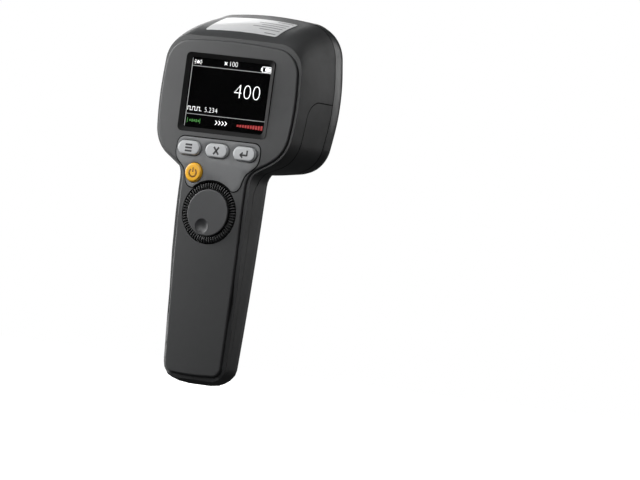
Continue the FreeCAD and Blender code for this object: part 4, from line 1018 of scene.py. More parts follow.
class Finish(Enum):
    """Every finish of the instrument, named as the record's material slots.

    The two housing slots share one moulded finish, so housing_satin is another name of housing_dark and reads
    as housing_dark wherever a finish gives its name.
    """

    housing_dark = Surface((0.030, 0.031, 0.032), 0.52, pitch=0.42, depth=0.016, edge_wear=0.5)
    housing_satin = housing_dark
    bezel_satin = Surface((0.019, 0.0195, 0.0205), 0.36, pitch=0.4, depth=0.007, edge_wear=0.45)
    panel_grey = Surface((0.115, 0.118, 0.121), 0.5, pitch=0.3, depth=0.008, edge_wear=0.3)
    window_clear = Clear((0.95, 0.97, 0.97), 0.05, spread=0.02, mottle=0.0, pitch=4.0, depth=0.0004,
                         edge_wear=0.0, metallic=1.0)
    display_black = Surface((0.0005, 0.0005, 0.0006), 0.4, pitch=0.2, depth=0.0004, mottle=0.2,
                            edge_wear=0.0, level=0.01)
    inner_plastic = Surface((0.045, 0.045, 0.05), 0.5)
    ribbon_film = Surface((0.55, 0.25, 0.05), 0.25, pattern=Effect.BRUSHED, pitch=0.5, depth=0.01)
    key_grey = Surface((0.44, 0.45, 0.46), 0.42, pitch=0.25, depth=0.005, edge_wear=0.2, coat=0.15,
                       coat_roughness=0.3)
    key_orange = Surface((0.86, 0.44, 0.018), 0.36, pitch=0.25, depth=0.005, edge_wear=0.2,
                         edge_colour=(0.95, 0.6, 0.12), coat=0.12, coat_roughness=0.25)
    dial_black = Surface((0.014, 0.014, 0.015), 0.42, pitch=0.3, depth=0.006, edge_wear=0.5,
                         edge_colour=(0.055, 0.055, 0.058))
    # near-black, duller colour for the faces in the tooth gaps: painted shade
    dial_gap = Surface((0.003, 0.003, 0.003), 0.6, pitch=0.3, depth=0.006, edge_wear=0.0, level=0.15)
    dial_disc = Surface((0.040, 0.041, 0.043), 0.46, pitch=0.34, depth=0.009, edge_wear=0.35)
    shaft_steel = Metal((0.58, 0.58, 0.57), 0.28)
    encoder_metal = Metal((0.52, 0.52, 0.53), 0.35)
    board_green = Board((0.02, 0.17, 0.08), 0.28)
    board_white = Board((0.82, 0.83, 0.82), 0.3)
    screw_steel = Metal((0.55, 0.55, 0.55), 0.3)
    screw_black = Surface((0.03, 0.03, 0.032), 0.32, metallic=1.0, edge_colour=(0.3, 0.3, 0.3), edge_wear=0.6)
    chip_black = Surface((0.012, 0.012, 0.013), 0.45)
    can_aluminium = Metal((0.6, 0.61, 0.62), 0.3)
    # the plate's emission round each lens is painted light, not a lamp
    plate_black = PaintedGlowPlate((0.012, 0.012, 0.013), 0.14, spread=0.04, pitch=1.5, depth=0.0006,
                               edge_wear=0.3, coat=0.6, coat_roughness=0.05)
    emitter_yellow = Glow((0.95, 0.78, 0.12), 0.4, edge_wear=0.25, light=0.6)
    pad_grey = Surface((0.3, 0.32, 0.36), 0.7, depth=0.02)
    sink_aluminium = Metal((0.56, 0.57, 0.58), 0.36)
    cell_sleeve = Surface((0.03, 0.14, 0.42), 0.3, depth=0.003, coat=0.4)
    contact_brass = Metal((0.72, 0.5, 0.2), 0.3)
    socket_steel = Metal((0.09, 0.09, 0.093), 0.6)
    wire_red = Surface((0.5, 0.02, 0.015), 0.4, depth=0.006)
    plug_white = Surface((0.75, 0.74, 0.7), 0.45)
    label_silver = Surface((0.56, 0.565, 0.57), 0.45, pattern=Effect.BRUSHED, pitch=0.25, depth=0.004,
                           mottle=0.05, edge_wear=0.2, coat=0.2)
    lens_clear = LitLens((0.16, 0.165, 0.16), 0.12, spread=0.04, pitch=2.0, depth=0.006, edge_wear=0.0,
                         coat=1.0, coat_roughness=0.04)
    screen_white = Glow((0.95, 0.96, 0.97), 0.3)
    screen_rule = Glow((0.30, 0.31, 0.31), 0.3)
    screen_green = Glow((0.035, 0.16, 0.03), 0.3)
    screen_red = Glow((0.24, 0.02, 0.02), 0.3)
    surround_dark = Surface((0.004, 0.004, 0.0042), 0.62, pitch=0.3, depth=0.006, edge_wear=0.0, level=0.12)
    # near-black cord colour: painted shadow in the joints between the shells and round the inlay
    seal_black = Surface((0.003, 0.003, 0.003), 0.8, pitch=0.3, depth=0.004, edge_wear=0.0, level=0.1)
    symbol_grey = Ink((0.032, 0.032, 0.034), 0.5)
    symbol_brown = Ink((0.15, 0.035, 0.006), 0.45)
    label_print = Ink((0.12, 0.122, 0.125), 0.5)

    @property
    def material(self) -> bpy.types.Material:
        """Give the finish's material, built when first asked for under a name of its own."""
        name = f"{self.name}_finish"
        return bpy.data.materials.get(name) or self.value.material(name)


# ---------------------------------------------------------------- pieces

@dataclass
class SubAssembly:
    """Pieces that are built and handed over together.

    Attributes:
        body: The body that they ride on.
    """

    body: str = ROOT_BODY

    def hand_over(self, piece: bpy.types.Object, name: str, finish: Finish, slot: Optional[str] = None,
                  replaced: Sequence[str] = (), body: Optional[str] = None) -> bpy.types.Object:
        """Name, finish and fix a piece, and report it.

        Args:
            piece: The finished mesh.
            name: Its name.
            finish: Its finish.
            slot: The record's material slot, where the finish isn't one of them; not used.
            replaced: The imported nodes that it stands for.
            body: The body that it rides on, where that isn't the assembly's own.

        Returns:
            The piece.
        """
        put_down()
        piece.name = piece.data.name = name
        if not piece.data.materials:
            piece.data.materials.append(finish.material)
        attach(piece, body or self.body)
        slot or finish.name
        if replaced:
            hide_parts(*replaced)
        log.info("%s: %d faces, rides on %s", name, len(piece.data.polygons), body or self.body)
        return piece

    def copied(self, node: str, name: str) -> bpy.types.Object:
        """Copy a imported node's mesh into a new piece and merge its loose triangles.

        Args:
            node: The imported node.
            name: The new piece's name.

        Returns:
            The new piece, one connected skin.
        """
        piece = bpy.data.objects.new(name, frame["nodes"][node].data.copy())
        bpy.context.collection.objects.link(piece)
        piece.data.materials.clear()
        merge_points(piece)
        take_up(piece)
        if piece.data.has_custom_normals:
            bpy.ops.mesh.customdata_custom_splitnormals_clear()
        return piece

    def dressed(self, node: str, name: str, finish: Finish, angle: float = 30.0,
                weighted: bool = False) -> bpy.types.Object:
        """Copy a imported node, shade it smoothly and hand it over in the node's place.

        Args:
            node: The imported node.
            name: The new piece's name.
            finish: Its finish.
            angle: Faces that meet at less than this many degrees are shaded as one.
            weighted: Whether large faces lead the shading.

        Returns:
            The piece.
        """
        piece = self.copied(node, name)
        smooth(piece, angle, weighted)
        return self.hand_over(piece, name, finish, replaced=(node,))


@dataclass
class Hardware(SubAssembly):
    """Screws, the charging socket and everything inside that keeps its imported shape."""

    def build(self) -> None:
        """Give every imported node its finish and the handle's screws a rounded look."""
        for part in frame["record"]["subparts"]:
            node = frame["nodes"][part["node"]]
            node.data.materials.clear()
            node.data.materials.append(Finish[part["material_slot"]].material)
        self.dressed("grip_screws", "handle_screws", Finish.screw_black)


@dataclass
class Shells(SubAssembly):
    """The rear housing, the handle's front shell and the lamp's bezel.

    Attributes:
        soft_angle: Faces that meet at less than this many degrees are shaded as one.
        shelf_wide: The width of the step round the face.
        shelf_drop: How far the step's outer edge falls away on the handle.
        shelf_depths: The depths between which that fall fades out.
        shelf_end: How far over the handle's end the step's outer edge lies.
        handle_top: The height under which the step falls away.
        handle_start: The height over which the fall sets in.
        row: The height of the rows in which the widest points are looked for.
        row_depth: The depth down to which they are looked for.
    """

    soft_angle: float = 28.0
    shelf_wide: float = 2.2
    shelf_drop: float = 1.5
    shelf_depths: tuple[float, float] = (2.0, 12.0)
    shelf_end: float = 1.0
    handle_top: float = -66.0
    handle_start: float = 12.0
    row: float = 8.0
    row_depth: float = 9.0

    def build(self) -> None:
        """Copy the three shells and shade them as smooth mouldings."""
        for node, finish in (("rear_housing", Finish.housing_dark), ("grip_housing", Finish.housing_satin),
                             ("front_bezel", Finish.bezel_satin)):
            piece = self.copied(node, f"{node}_skin")
            if node == "rear_housing":
                self.ease_shelf(piece)
            smooth(piece, self.soft_angle, weighted=True)
            self.hand_over(piece, f"{node}_skin", finish, replaced=(node,))

    def ease_shelf(self, piece: bpy.types.Object) -> None:
        """Let the step round the face fall away towards the handle's sides and its end.

        Args:
            piece: The rear housing's skin.
        """
        points = [(point, point.co.x / MM, point.co.y / MM + FACE_SETBACK, point.co.z / MM - SCREEN_RISE)
                  for point in piece.data.vertices]
        foot = min(height for _, _, _, height in points)
        widest: dict[int, tuple[float, float]] = {}
        for _, across, depth, height in points:
            row = round(height / self.row)
            if depth < self.row_depth and abs(across) > widest.get(row, (0.0, 0.0))[1]:
                widest[row] = (height, abs(across))
        edge = sorted(widest.values())

        def half_width(height: float) -> float:
            """Give the handle's half width at a height, between the widest points of two rows.

            Args:
                height: The height in millimetres.

            Returns:
                The half width in millimetres.
            """
            for (low, narrow), (high, wide) in zip(edge, edge[1:]):
                if low <= height <= high:
                    return narrow + (wide - narrow) * (height - low) / max(high - low, 1e-6)
            return edge[0][1]

        near, far = self.shelf_depths
        for point, across, depth, height in points:
            if height > self.handle_top or not near < depth < far:
                continue
            from_edge = min(half_width(height) - abs(across), height - foot - self.shelf_end)
            out = max(0.0, min(1.0, 1.0 - from_edge / self.shelf_wide))
            fade = 1.0 - (depth - near) / (far - near)
            start = min(1.0, (self.handle_top - height) / self.handle_start)
            point.co.y += self.shelf_drop * MM * out * fade * start


@dataclass
class Seams(SubAssembly):
    """Dark cords sunk in the joints between the shells and round the inlay: painted shadow, standing in for
    the shade in gaps too fine to show it.

    Attributes:
        reach: How near the next shell an edge of a joint lies.
        radius: The cord's radius.
        sunk: How far its middle lies under the surface.
        crease: An edge of a joint turns by more than this many degrees.
        lowest: The height down to which the cord between the shells shows.
        facing: How far an outer face's normal points away from the head's middle, as a cosine.
        lift: How far over the surface it is tested that nothing covers an edge.
        frontal: How far a front face's normal points to the user, as a cosine.
        room: How far the inlay's cord keeps from the dial.
        gap: The widest gap round a key.
    """

    reach: float = 0.6
    radius: float = 0.45
    sunk: float = 0.33
    crease: float = 35.0
    lowest: float = -62.0
    facing: float = 0.45
    lift: float = 0.3
    frontal: float = 0.8
    room: float = 0.8
    gap: float = 0.6

    def build(self) -> None:
        """Lay a dark cord, painted shadow of the joint, round the handle's front shell, the bezel and the
        inlay.
        """
        shells = ("rear_housing", "grip_housing", "front_bezel")
        trees = {node: self.tree(node) for node in shells}
        for node, test in (("grip_housing", self.joint(trees, shells[:1])),
                           ("front_bezel", self.joint(trees, shells[:2])), ("key_panel", self.border())):
            # each cord is a near-black strip sunk in a joint: painted shadow of the gap
            self.hand_over(self.cord(node, test), f"{node}_seal", Finish.seal_black, slot="display_black")

    def tree(self, node: str) -> BVHTree:
        """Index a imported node's triangles for finding what lies near.

        Args:
            node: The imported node.

        Returns:
            The tree of triangles.
        """
        mesh = frame["nodes"][node].data
        return BVHTree.FromPolygons([point.co.copy() for point in mesh.vertices],
                                    [tuple(side.vertices) for side in mesh.polygons])

    def joint(self, trees: dict[str, BVHTree], others: Sequence[str]) -> EdgeTest:
        """Give the test of a shell's edge that lies outside, in the joint with other shells.

        Args:
            trees: The triangles of every shell.
            others: The shells across the joint.

        Returns:
            The test.
        """
        def outer(middle: Vector, normals: Sequence[Vector]) -> Optional[Vector]:
            """Give the direction that is outside at an edge of the joint.

            Args:
                middle: The edge's middle.
                normals: The normals of its two sides.

            Returns:
                The direction, or None if the edge isn't one of these.
            """
            away = Vector((middle.x, 0.0, middle.z - SCREEN_RISE * MM)).normalized()
            normal = max(normals, key=away.dot)
            if away.dot(normal) < self.facing or middle.z < (self.lowest + SCREEN_RISE) * MM:
                return None
            if not any(trees[other].find_nearest(middle, self.reach * MM)[0] for other in others):
                return None
            start = middle + normal * self.lift * MM
            return None if any(tree.ray_cast(start, normal)[0] for tree in trees.values()) else normal

        return outer

    def border(self) -> EdgeTest:
        """Give the test of an edge of the inlay's front that borders on the housing.

        Returns:
            The test.
        """
        keys = [Extent.of(node) for node in KEY_NODES]
        dial = Extent.of("dial_rim")
        clear = dial.half_wide + self.room

        def outer(middle: Vector, normals: Sequence[Vector]) -> Optional[Vector]:
            """Give the direction that is outside at an edge of the border.

            Args:
                middle: The edge's middle.
                normals: The normals of its two sides.

            Returns:
                The direction, or None if the edge isn't one of these.
            """
            front = min(normals, key=lambda direction: direction.y)
            wall = max(normals, key=lambda direction: direction.y)
            to_dial = spot(0.0, 0.0, dial.height) - middle
            if front.y > -self.frontal or math.hypot(to_dial.x, to_dial.z) < clear * MM:
                return None
            for key in keys:
                to_key = spot(key.across, 0.0, key.height) - middle
                to_key.y = 0.0
                if key.holds(middle, self.gap) and wall.dot(to_key) > 0.0:
                    return None
            return front

        return outer

    def cord(self, node: str, test: EdgeTest) -> bpy.types.Object:
        """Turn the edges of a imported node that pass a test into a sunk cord.

        Args:
            node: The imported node.
            test: Given an edge's middle and its two normals, the direction that is outside, or None.

        Returns:
            The cord as one mesh.
        """
        shell = self.copied(node, f"{node}_edges")
        mesh = shell.data
        sides: dict[tuple[int, int], list[Vector]] = {}
        for side in mesh.polygons:
            for key in side.edge_keys:
                sides.setdefault(key, []).append(side.normal.copy())
        outward: dict[int, Vector] = {}
        chosen = [False] * len(mesh.edges)
        for number, edge in enumerate(mesh.edges):
            normals = sides.get(tuple(sorted(edge.vertices)), [])
            if len(normals) != 2 or normals[0].angle(normals[1], 0.0) < math.radians(self.crease):
                continue
            first, last = (mesh.vertices[point].co for point in edge.vertices)
            normal = test((first + last) / 2.0, normals)
            if normal:
                chosen[number] = True
                outward.update({point: normal for point in edge.vertices})
        for point, normal in outward.items():
            mesh.vertices[point].co -= normal * self.sunk * MM
        choose(shell, "edges", chosen)
        with shaping(shell, "EDGE"):
            bpy.ops.mesh.duplicate()
            bpy.ops.mesh.separate(type="SELECTED")
        line = next(piece for piece in bpy.context.selected_objects if piece is not shell)
        bpy.data.objects.remove(shell)
        take_up(line)
        bpy.ops.object.convert(target="CURVE")
        line = bpy.context.object
        line.data.bevel_depth = self.radius * MM
        line.data.bevel_resolution = 4
        line.data.use_fill_caps = True
        bpy.ops.object.convert(target="MESH")
        cord = bpy.context.object
        smooth(cord, 60.0)
        return cord


class Symbol(Enum):
    """The plain signs on the keys and the screen, as bars: across, height, width, height and turn."""

    MENU = tuple((0.0, up, 4.9, 1.15) for up in (-1.9, 0.0, 1.9))
    TIMES = tuple((0.0, 0.0, 5.9, 1.25, turn) for turn in (52.0, -52.0))
    ENTER = ((0.2, -0.8, 4.4, 1.15), (2.2, 0.65, 1.15, 3.4), (-1.75, -0.1, 2.6, 1.15, -45.0),
             (-1.75, -1.5, 2.6, 1.15, 45.0))
    POWER = ((0.0, 1.6, 0.95, 2.8),)
    BY = tuple((0.0, 0.0, 2.6, 0.42, turn) for turn in (45.0, -45.0))
    BATTERY = ((0.0, -1.63, 6.6, 0.34), (0.0, 1.63, 6.6, 0.34), (-3.13, 0.0, 0.34, 2.94),
               (3.13, 0.0, 0.34, 2.94), (0.8, 0.0, 3.6, 1.9), (-3.7, 0.0, 0.8, 1.8))
    PULSES = tuple((3.4 * number - 4.6 + right, up, wide, tall) for number in range(3)
                   for right, up, wide, tall in ((0.0, 0.0, 0.3, 2.5), (0.85, 1.1, 1.9, 0.3),
                                                 (1.7, 0.0, 0.3, 2.5), (2.5, -1.1, 1.4, 0.3)))
    LAMP = ((0.0, 0.0, 1.6, 1.6, 45.0), *(ray for side in (-1, 1) for ray in (
        (side * 2.3, 0.0, 1.2, 0.4), (side * 1.9, 1.0, 1.1, 0.36, -side * 38.0),
        (side * 1.9, -1.0, 1.1, 0.36, side * 38.0))))
    SLIDER = ((0.3, 0.0, 0.4, 3.0), (9.3, 0.0, 0.4, 3.0),
              *((2.2 + 1.5 * number, 0.0, 0.9, 1.2 + 0.5 * (number % 2)) for number in range(5)))
    CHEVRONS = tuple((2.3 * number, side * 0.62, 1.9, 0.45, side * 45.0)
                     for number in range(4) for side in (-1, 1))
    LEVEL = tuple((1.9 * number, 0.0, 1.35, 1.3 + 0.16 * number) for number in range(10))


@dataclass
class Screen(SubAssembly):
    """The display, the sloped surround in its opening and what the display shows.

    Attributes:
        picture_front: The depth of the lit picture.
        picture_thick: The thickness of a lit mark.
        active: Half the width and half the height of the picture.
        opening: How much further than the window the opening reaches on each side.
        surround_out: The depth of the surround's outer edge.
        surround_in: The depth of the surround's inner edge.
        surround_lip: The thickness of that inner edge.
        surround_play: The gap between the surround and the opening.
        corner: The radius of the surround's outer corners.
        rule_ends: The ends of the level rules, the left one also the place of the upright rule.
        rule_levels: The heights of the level rules.
        rule_tall: Half the length of the upright rule.
        rule_lines: The width of the upright rule and of the level ones.
        readings: The figures, their middle across and in height, their height and their added weight.
    """

    picture_front: float = 2.75
    picture_thick: float = 0.06
    active: tuple[float, float] = (28.9, 21.7)
    opening: float = 0.3
    surround_out: float = 0.25
    surround_in: float = 1.6
    surround_lip: float = 0.06
    surround_play: float = 0.05
    corner: float = 2.9
    rule_ends: tuple[float, float] = (-28.6, 28.4)
    rule_levels: tuple[float, float] = (16.4, -13.4)
    rule_tall: float = 21.3
    rule_lines: tuple[float, float] = (0.38, 0.3)
    readings: tuple[tuple[str, float, float, float, float], ...] = (
        ("400", 13.25, 3.5, 8.5, -0.34), ("100", 0.8, 19.7, 2.9, -0.09), ("5.234", -11.0, -10.0, 2.9, -0.09))

    def build(self) -> None:
        """Build the panel, the surround, the rules, the figures with their signs, and the lowest line."""
        self.dressed("display_module", "display_panel", Finish.display_black)
        self.surround()
        left, right = self.rule_ends
        upright, level = self.rule_lines
        rows = [(left, 0.0, upright, 2.0 * self.rule_tall)]
        rows += [((left + right) / 2.0, height, right - left, level) for height in self.rule_levels]
        self.light("screen_rules", Finish.screen_rule, bars(rows, self.picture_front, self.picture_thick))
        written = [figures(text, across, height, tall, self.picture_front, weight)
                   for text, across, height, tall, weight in self.readings]
        self.light("screen_figures", Finish.screen_white,
                   written + self.signs((Symbol.BY, -4.6, 19.6), (Symbol.BATTERY, 25.0, 18.5),
                                        (Symbol.PULSES, -23.2, -10.0), (Symbol.LAMP, -24.6, 18.9)))
        for name, finish, symbol, across, height in (
                ("screen_marks_left", Finish.screen_green, Symbol.SLIDER, -27.2, -17.4),
                ("screen_marks_middle", Finish.screen_white, Symbol.CHEVRONS, -6.0, -17.3),
                ("screen_marks_right", Finish.screen_red, Symbol.LEVEL, 9.6, -17.6)):
            self.light(name, finish, self.signs((symbol, across, height)))

    def surround(self) -> None:
        """Make the sloped frame between the opening and the picture."""
        window = Extent.of("display_window")
        half_wide = window.half_wide + self.opening - self.surround_play
        half_tall = window.half_tall + self.opening - self.surround_play
        middle = spot(0.0, self.surround_out, 0.0)
        put_down()
        bpy.ops.mesh.primitive_plane_add(size=1.0, location=middle, rotation=(QUARTER_TURN, 0.0, 0.0))
        bpy.context.object.scale = (2.0 * half_wide * MM, 2.0 * half_tall * MM, 1.0)
        piece = settle(bpy.context.object)
        with shaping(piece, whole=True):
            bpy.ops.mesh.bevel(offset=self.corner * MM, segments=6, affect="VERTICES")
            bpy.ops.mesh.select_all(action="SELECT")
            bpy.ops.mesh.delete(type="ONLY_FACE")
        wide, tall = self.active[0] / half_wide, self.active[1] / half_tall
        slope = self.surround_in - self.surround_out
        steps = [(wide, tall, slope), (1.0, 1.0, self.surround_lip), (1.0 / wide, 1.0 / tall, 0.0),
                 (1.0, 1.0, -slope - self.surround_lip)]
        grow_loops(piece, middle, steps, closed=True)
        smooth(piece, 25.0)
        self.hand_over(piece, "screen_surround", Finish.surround_dark, slot="display_black")

    def signs(self, *placed: tuple[Symbol, float, float]) -> list[bpy.types.Object]:
        """Draw signs in the picture, each given with its middle across and in height."""
        return [piece for symbol, across, height in placed
                for piece in bars(symbol.value, self.picture_front, self.picture_thick, across, height)]

    def light(self, name: str, finish: Finish, pieces: Sequence[bpy.types.Object]) -> None:
        """Join pieces into one lit mark and hand it over."""
        self.hand_over(join(pieces), name, finish, slot="display_black")


@dataclass
class Keys(SubAssembly):
    """The three grey keys, the amber power key, their signs and the grey inlay.

    Attributes:
        dome: How far a key's middle stands in front of its edge.
        rings: The widths of the rings that the dome has, from outside to inside, and their rise.
        rim: The depth of a key behind its front that sinks to make room for the dome.
        print_thick: The thickness of a printed sign.
        print_proud: How far a sign stands out of the key's middle.
        shadow_line: How much wider the gap round the inlay looks than its fit.
        room: How far round a key or the dial the inlay keeps its shape.
        bead: The rounding of the inlay's edges.
        ring_radius: The radius of the power sign's open ring.
        ring_wide: The width of that ring's stroke.
        ring_sweep: How many degrees the ring runs.
        ring_drop: How far its middle lies under the key's.
        ring_start: Half the length of the stroke that the ring is spun from.
    """

    dome: float = 0.35
    rings: tuple[tuple[float, float], ...] = ((0.5, 0.10), (0.7, 0.10), (0.9, 0.09), (1.0, 0.06))
    rim: float = 1.1
    print_thick: float = 0.2
    print_proud: float = 0.02
    shadow_line: float = 0.3
    room: float = 1.0
    bead: float = 0.22
    ring_radius: float = 2.5
    ring_wide: float = 0.95
    ring_sweep: float = 285.0
    ring_drop: float = 0.2
    ring_start: float = 0.01

    def build(self) -> None:
        """Build the inlay, then every key with its sign."""
        panel = self.copied("key_panel", "key_inlay")
        self.draw_in(panel)
        round_edges(panel, self.bead)
        smooth(panel, 25.0)
        self.hand_over(panel, "key_inlay", Finish.panel_grey, replaced=("key_panel",))
        for side, symbol in (("left", Symbol.MENU), ("middle", Symbol.TIMES), ("right", Symbol.ENTER)):
            self.key(f"key_{side}", f"{side}_key", Finish.key_grey, symbol, Finish.symbol_grey)
        self.key("power_key", "power_button", Finish.key_orange, Symbol.POWER, Finish.symbol_brown)

    def draw_in(self, panel: bpy.types.Object) -> None:
        """Draw the inlay's outer edge in a little, so that a fine shadow line runs round it.

        Args:
            panel: The inlay, still as wide as its pocket.
        """
        openings = [Extent.of(node) for node in (*KEY_NODES, "dial_rim")]
        whole = Extent.of("key_panel")
        pick_points(panel, lambda place: not any(box.holds(place, self.room) for box in openings))
        wide, tall = (1.0 - self.shadow_line / half for half in (whole.half_wide, whole.half_tall))
        middle = spot(whole.across, FACE_SETBACK, whole.height)
        with shaping(panel):
            bpy.ops.transform.resize(value=(wide, 1.0, tall), center_override=middle)

    def key(self, node: str, body: str, finish: Finish, symbol: Symbol, ink: Finish) -> None:
        """Build one key with a gently domed face and print its sign.

        Args:
            node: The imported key.
            body: The body that the key is.
            finish: The key's finish.
            symbol: Its sign.
            ink: The sign's finish.
        """
        piece = self.copied(node, f"{node}_cap")
        cap = Extent.of(node)
        face = cap.low[1]
        with shaping(piece, whole=True):
            bpy.ops.mesh.dissolve_limited(angle_limit=math.radians(1.0))
        pick_faces(piece, lambda middle, normal: normal.y < -0.99 and middle.y < face + 1e-5)
        share = self.dome / sum(rise for _, rise in self.rings)
        with shaping(piece, "FACE"):
            for inset, rise in self.rings:
                bpy.ops.mesh.inset(thickness=inset * MM)
                bpy.ops.transform.translate(value=(0.0, -rise * share * MM, 0.0))
        pick_points(piece, lambda place: place.y < face + self.rim * MM)
        with shaping(piece):
            bpy.ops.transform.translate(value=(0.0, self.dome * MM, 0.0))
        smooth(piece, 40.0)
        self.hand_over(piece, f"{node}_cap", finish, replaced=(node,), body=body)
        front = cap.front if symbol is Symbol.POWER else cap.front - self.print_proud
        strokes = bars(symbol.value, front, self.print_thick, cap.across, cap.height)
        if symbol is Symbol.POWER:
            strokes.append(self.open_ring(cap.across, cap.height - self.ring_drop, front))
        self.hand_over(join(strokes), f"{node}_sign", ink, slot=finish.name, body=body)

    def open_ring(self, across: float, height: float, front: float) -> bpy.types.Object:
        """Spin a stroke both ways round a middle, up to an opening at the top.

        Args:
            across: The middle across.
            height: The middle in height.
            front: The depth of the stroke's front.

        Returns:
            The closed stroke.
        """
        piece = bar(across, height - self.ring_radius, 2.0 * self.ring_start, self.ring_wide, front,
                    self.print_thick)
        middle = spot(across, front, height)
        start = self.ring_start * MM
        for way in (1.0, -1.0):
            pick_faces(piece, lambda place, normal: way * normal.x > 0.9
                       and abs(way * (place.x - middle.x) - start) < start / 2.0)
            with shaping(piece, "FACE"):
                bpy.ops.mesh.spin(steps=20, angle=math.radians(way * self.ring_sweep / 2.0), center=middle,
                                  axis=(0.0, 1.0, 0.0))
        merge_points(piece, 1e-7)
        face_outwards(piece)
        return piece


@dataclass
class Dial(SubAssembly):
    """The dial: a ring with radial teeth round a smooth disc with a finger dimple.

    Attributes:
        teeth: The number of teeth.
        tooth_steps: The number of points that one tooth and its gap take.
        tooth_long: How far the teeth reach inwards from the ring's outside.
        tooth_back: How far they keep from the ring's back.
        groove: How far a gap is scaled towards the axis at the ring's outside.
        groove_deep: How far a gap is sunk into the ring's face.
        bore: The ring's inner radius.
        shoulder: Points of the ring's front as distances inside its outside and behind its front.
        lip: Points of the ring's front as distances outside its bore and behind its front.
    """

    body: str = "dial"
    teeth: int = 64
    tooth_steps: int = 4
    tooth_long: float = 3.6
    tooth_back: float = 0.25
    groove: float = 0.962
    groove_deep: float = 0.9
    bore: float = 14.62
    shoulder: tuple[tuple[float, float], ...] = ((0.0, 1.0), (0.5, 0.3), (1.5, 0.0), (3.3, 0.05))
    lip: tuple[tuple[float, float], ...] = ((0.25, 0.35), (0.0, 0.8))

    def build(self) -> None:
        """Build the toothed ring and dress the disc."""
        rim = Extent.of("dial_rim")
        outer, front = rim.half_wide, rim.front
        profile = [(self.bore, rim.back), (outer, rim.back)]
        profile += [(outer - inside, front + behind) for inside, behind in self.shoulder]
        profile += [(self.bore + outside, front + behind) for outside, behind in self.lip]
        profile.append(profile[0])
        ring = turned("dial_teeth", profile, self.teeth * self.tooth_steps, 0.0, rim.height, closed=True)
        middle = spot(0.0, front, rim.height)
        last = (rim.back - FACE_SETBACK - self.tooth_back) * MM

        def step(place: Vector) -> float:
            """Count the steps from the user's right round to a place."""
            turn = math.atan2(place.z - middle.z, place.x - middle.x) / (2.0 * math.pi)
            return turn * self.teeth * self.tooth_steps

        def in_gap(place: Vector) -> bool:
            """Tell whether a point lies in a gap of the toothed part.

            Args:
                place: The point.

            Returns:
                Whether it does.
            """
            away = math.hypot(place.x - middle.x, place.z - middle.z)
            toothed = away >= (outer - self.tooth_long) * MM and place.y <= last
            return toothed and round(step(place)) % self.tooth_steps in (0, 1)

        # the faces in the tooth gaps take the second, near-black material: painted shade that darkens the
        # gaps beyond their real shade
        ring.data.materials.append(Finish.dial_black.material)
        ring.data.materials.append(Finish.dial_gap.material)
        pick_faces(ring, lambda place, normal: step(place) % self.tooth_steps < 2.0 and place.y < last)
        for side in ring.data.polygons:
            side.material_index = int(side.select)
        pick_points(ring, in_gap)
        with shaping(ring):
            bpy.ops.transform.resize(value=(self.groove, 1.0, self.groove), center_override=middle)
            bpy.ops.transform.translate(value=(0.0, self.groove_deep * MM, 0.0))
        smooth(ring, 20.0)
        self.hand_over(ring, "dial_teeth", Finish.dial_black, replaced=("dial_rim",))
        self.dressed("dial_cap", "dial_disc_face", Finish.dial_disc, 32.0, weighted=True)


@dataclass
class Lamp(SubAssembly):
    """The nine lenses and the plate that holds them.

    Attributes:
        hollow: The outline of a lens's hollow back as radii and distances from its back end.
        profile: The outline of its front as radii and distances behind its outermost point.
    """

    hollow: tuple[tuple[float, float], ...] = ((0.0005, 3.0), (3.3, 3.0), (3.4, 0.0), (5.0, 0.0))
    profile: tuple[tuple[float, float], ...] = (
        (11.46, 2.7), (11.46, 1.15), (11.30, 0.82), (10.95, 0.70), (10.45, 0.78), (10.30, 1.25), (9.95, 1.28),
        (9.75, 0.72), (9.20, 0.44), (7.80, 0.24), (6.30, 0.12), (5.90, 0.10), (5.70, 0.34), (5.30, 0.36),
        (5.10, 0.08), (3.60, 0.02), (1.80, 0.01), (0.0005, 0.0))

    def build(self) -> None:
        """Build one lens, copy it to its nine places, and dress the plate."""
        self.dressed("lens_plate", "lamp_plate", Finish.plate_black)
        lens = Extent.of("led_lens_1")
        outline = [(radius, lens.front + inside) for radius, inside in self.hollow]
        outline += [(radius, lens.back - behind) for radius, behind in self.profile]
        first = turned("lamp_lens_1", outline[::-1], 64, lens.across, lens.height, closed=False)
        face_outwards(first)
        smooth(first, 38.0)
        shape = first.data.copy()
        for number in range(1, 10):
            node, name = f"led_lens_{number}", f"lamp_lens_{number}"
            piece = first
            if number > 1:
                piece = bpy.data.objects.new(name, shape.copy())
                bpy.context.collection.objects.link(piece)
                piece.data.transform(Matrix.Translation(Vector(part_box(node)[0]) - Vector(lens.low)))
            self.hand_over(piece, name, Finish.lens_clear, replaced=(node,))


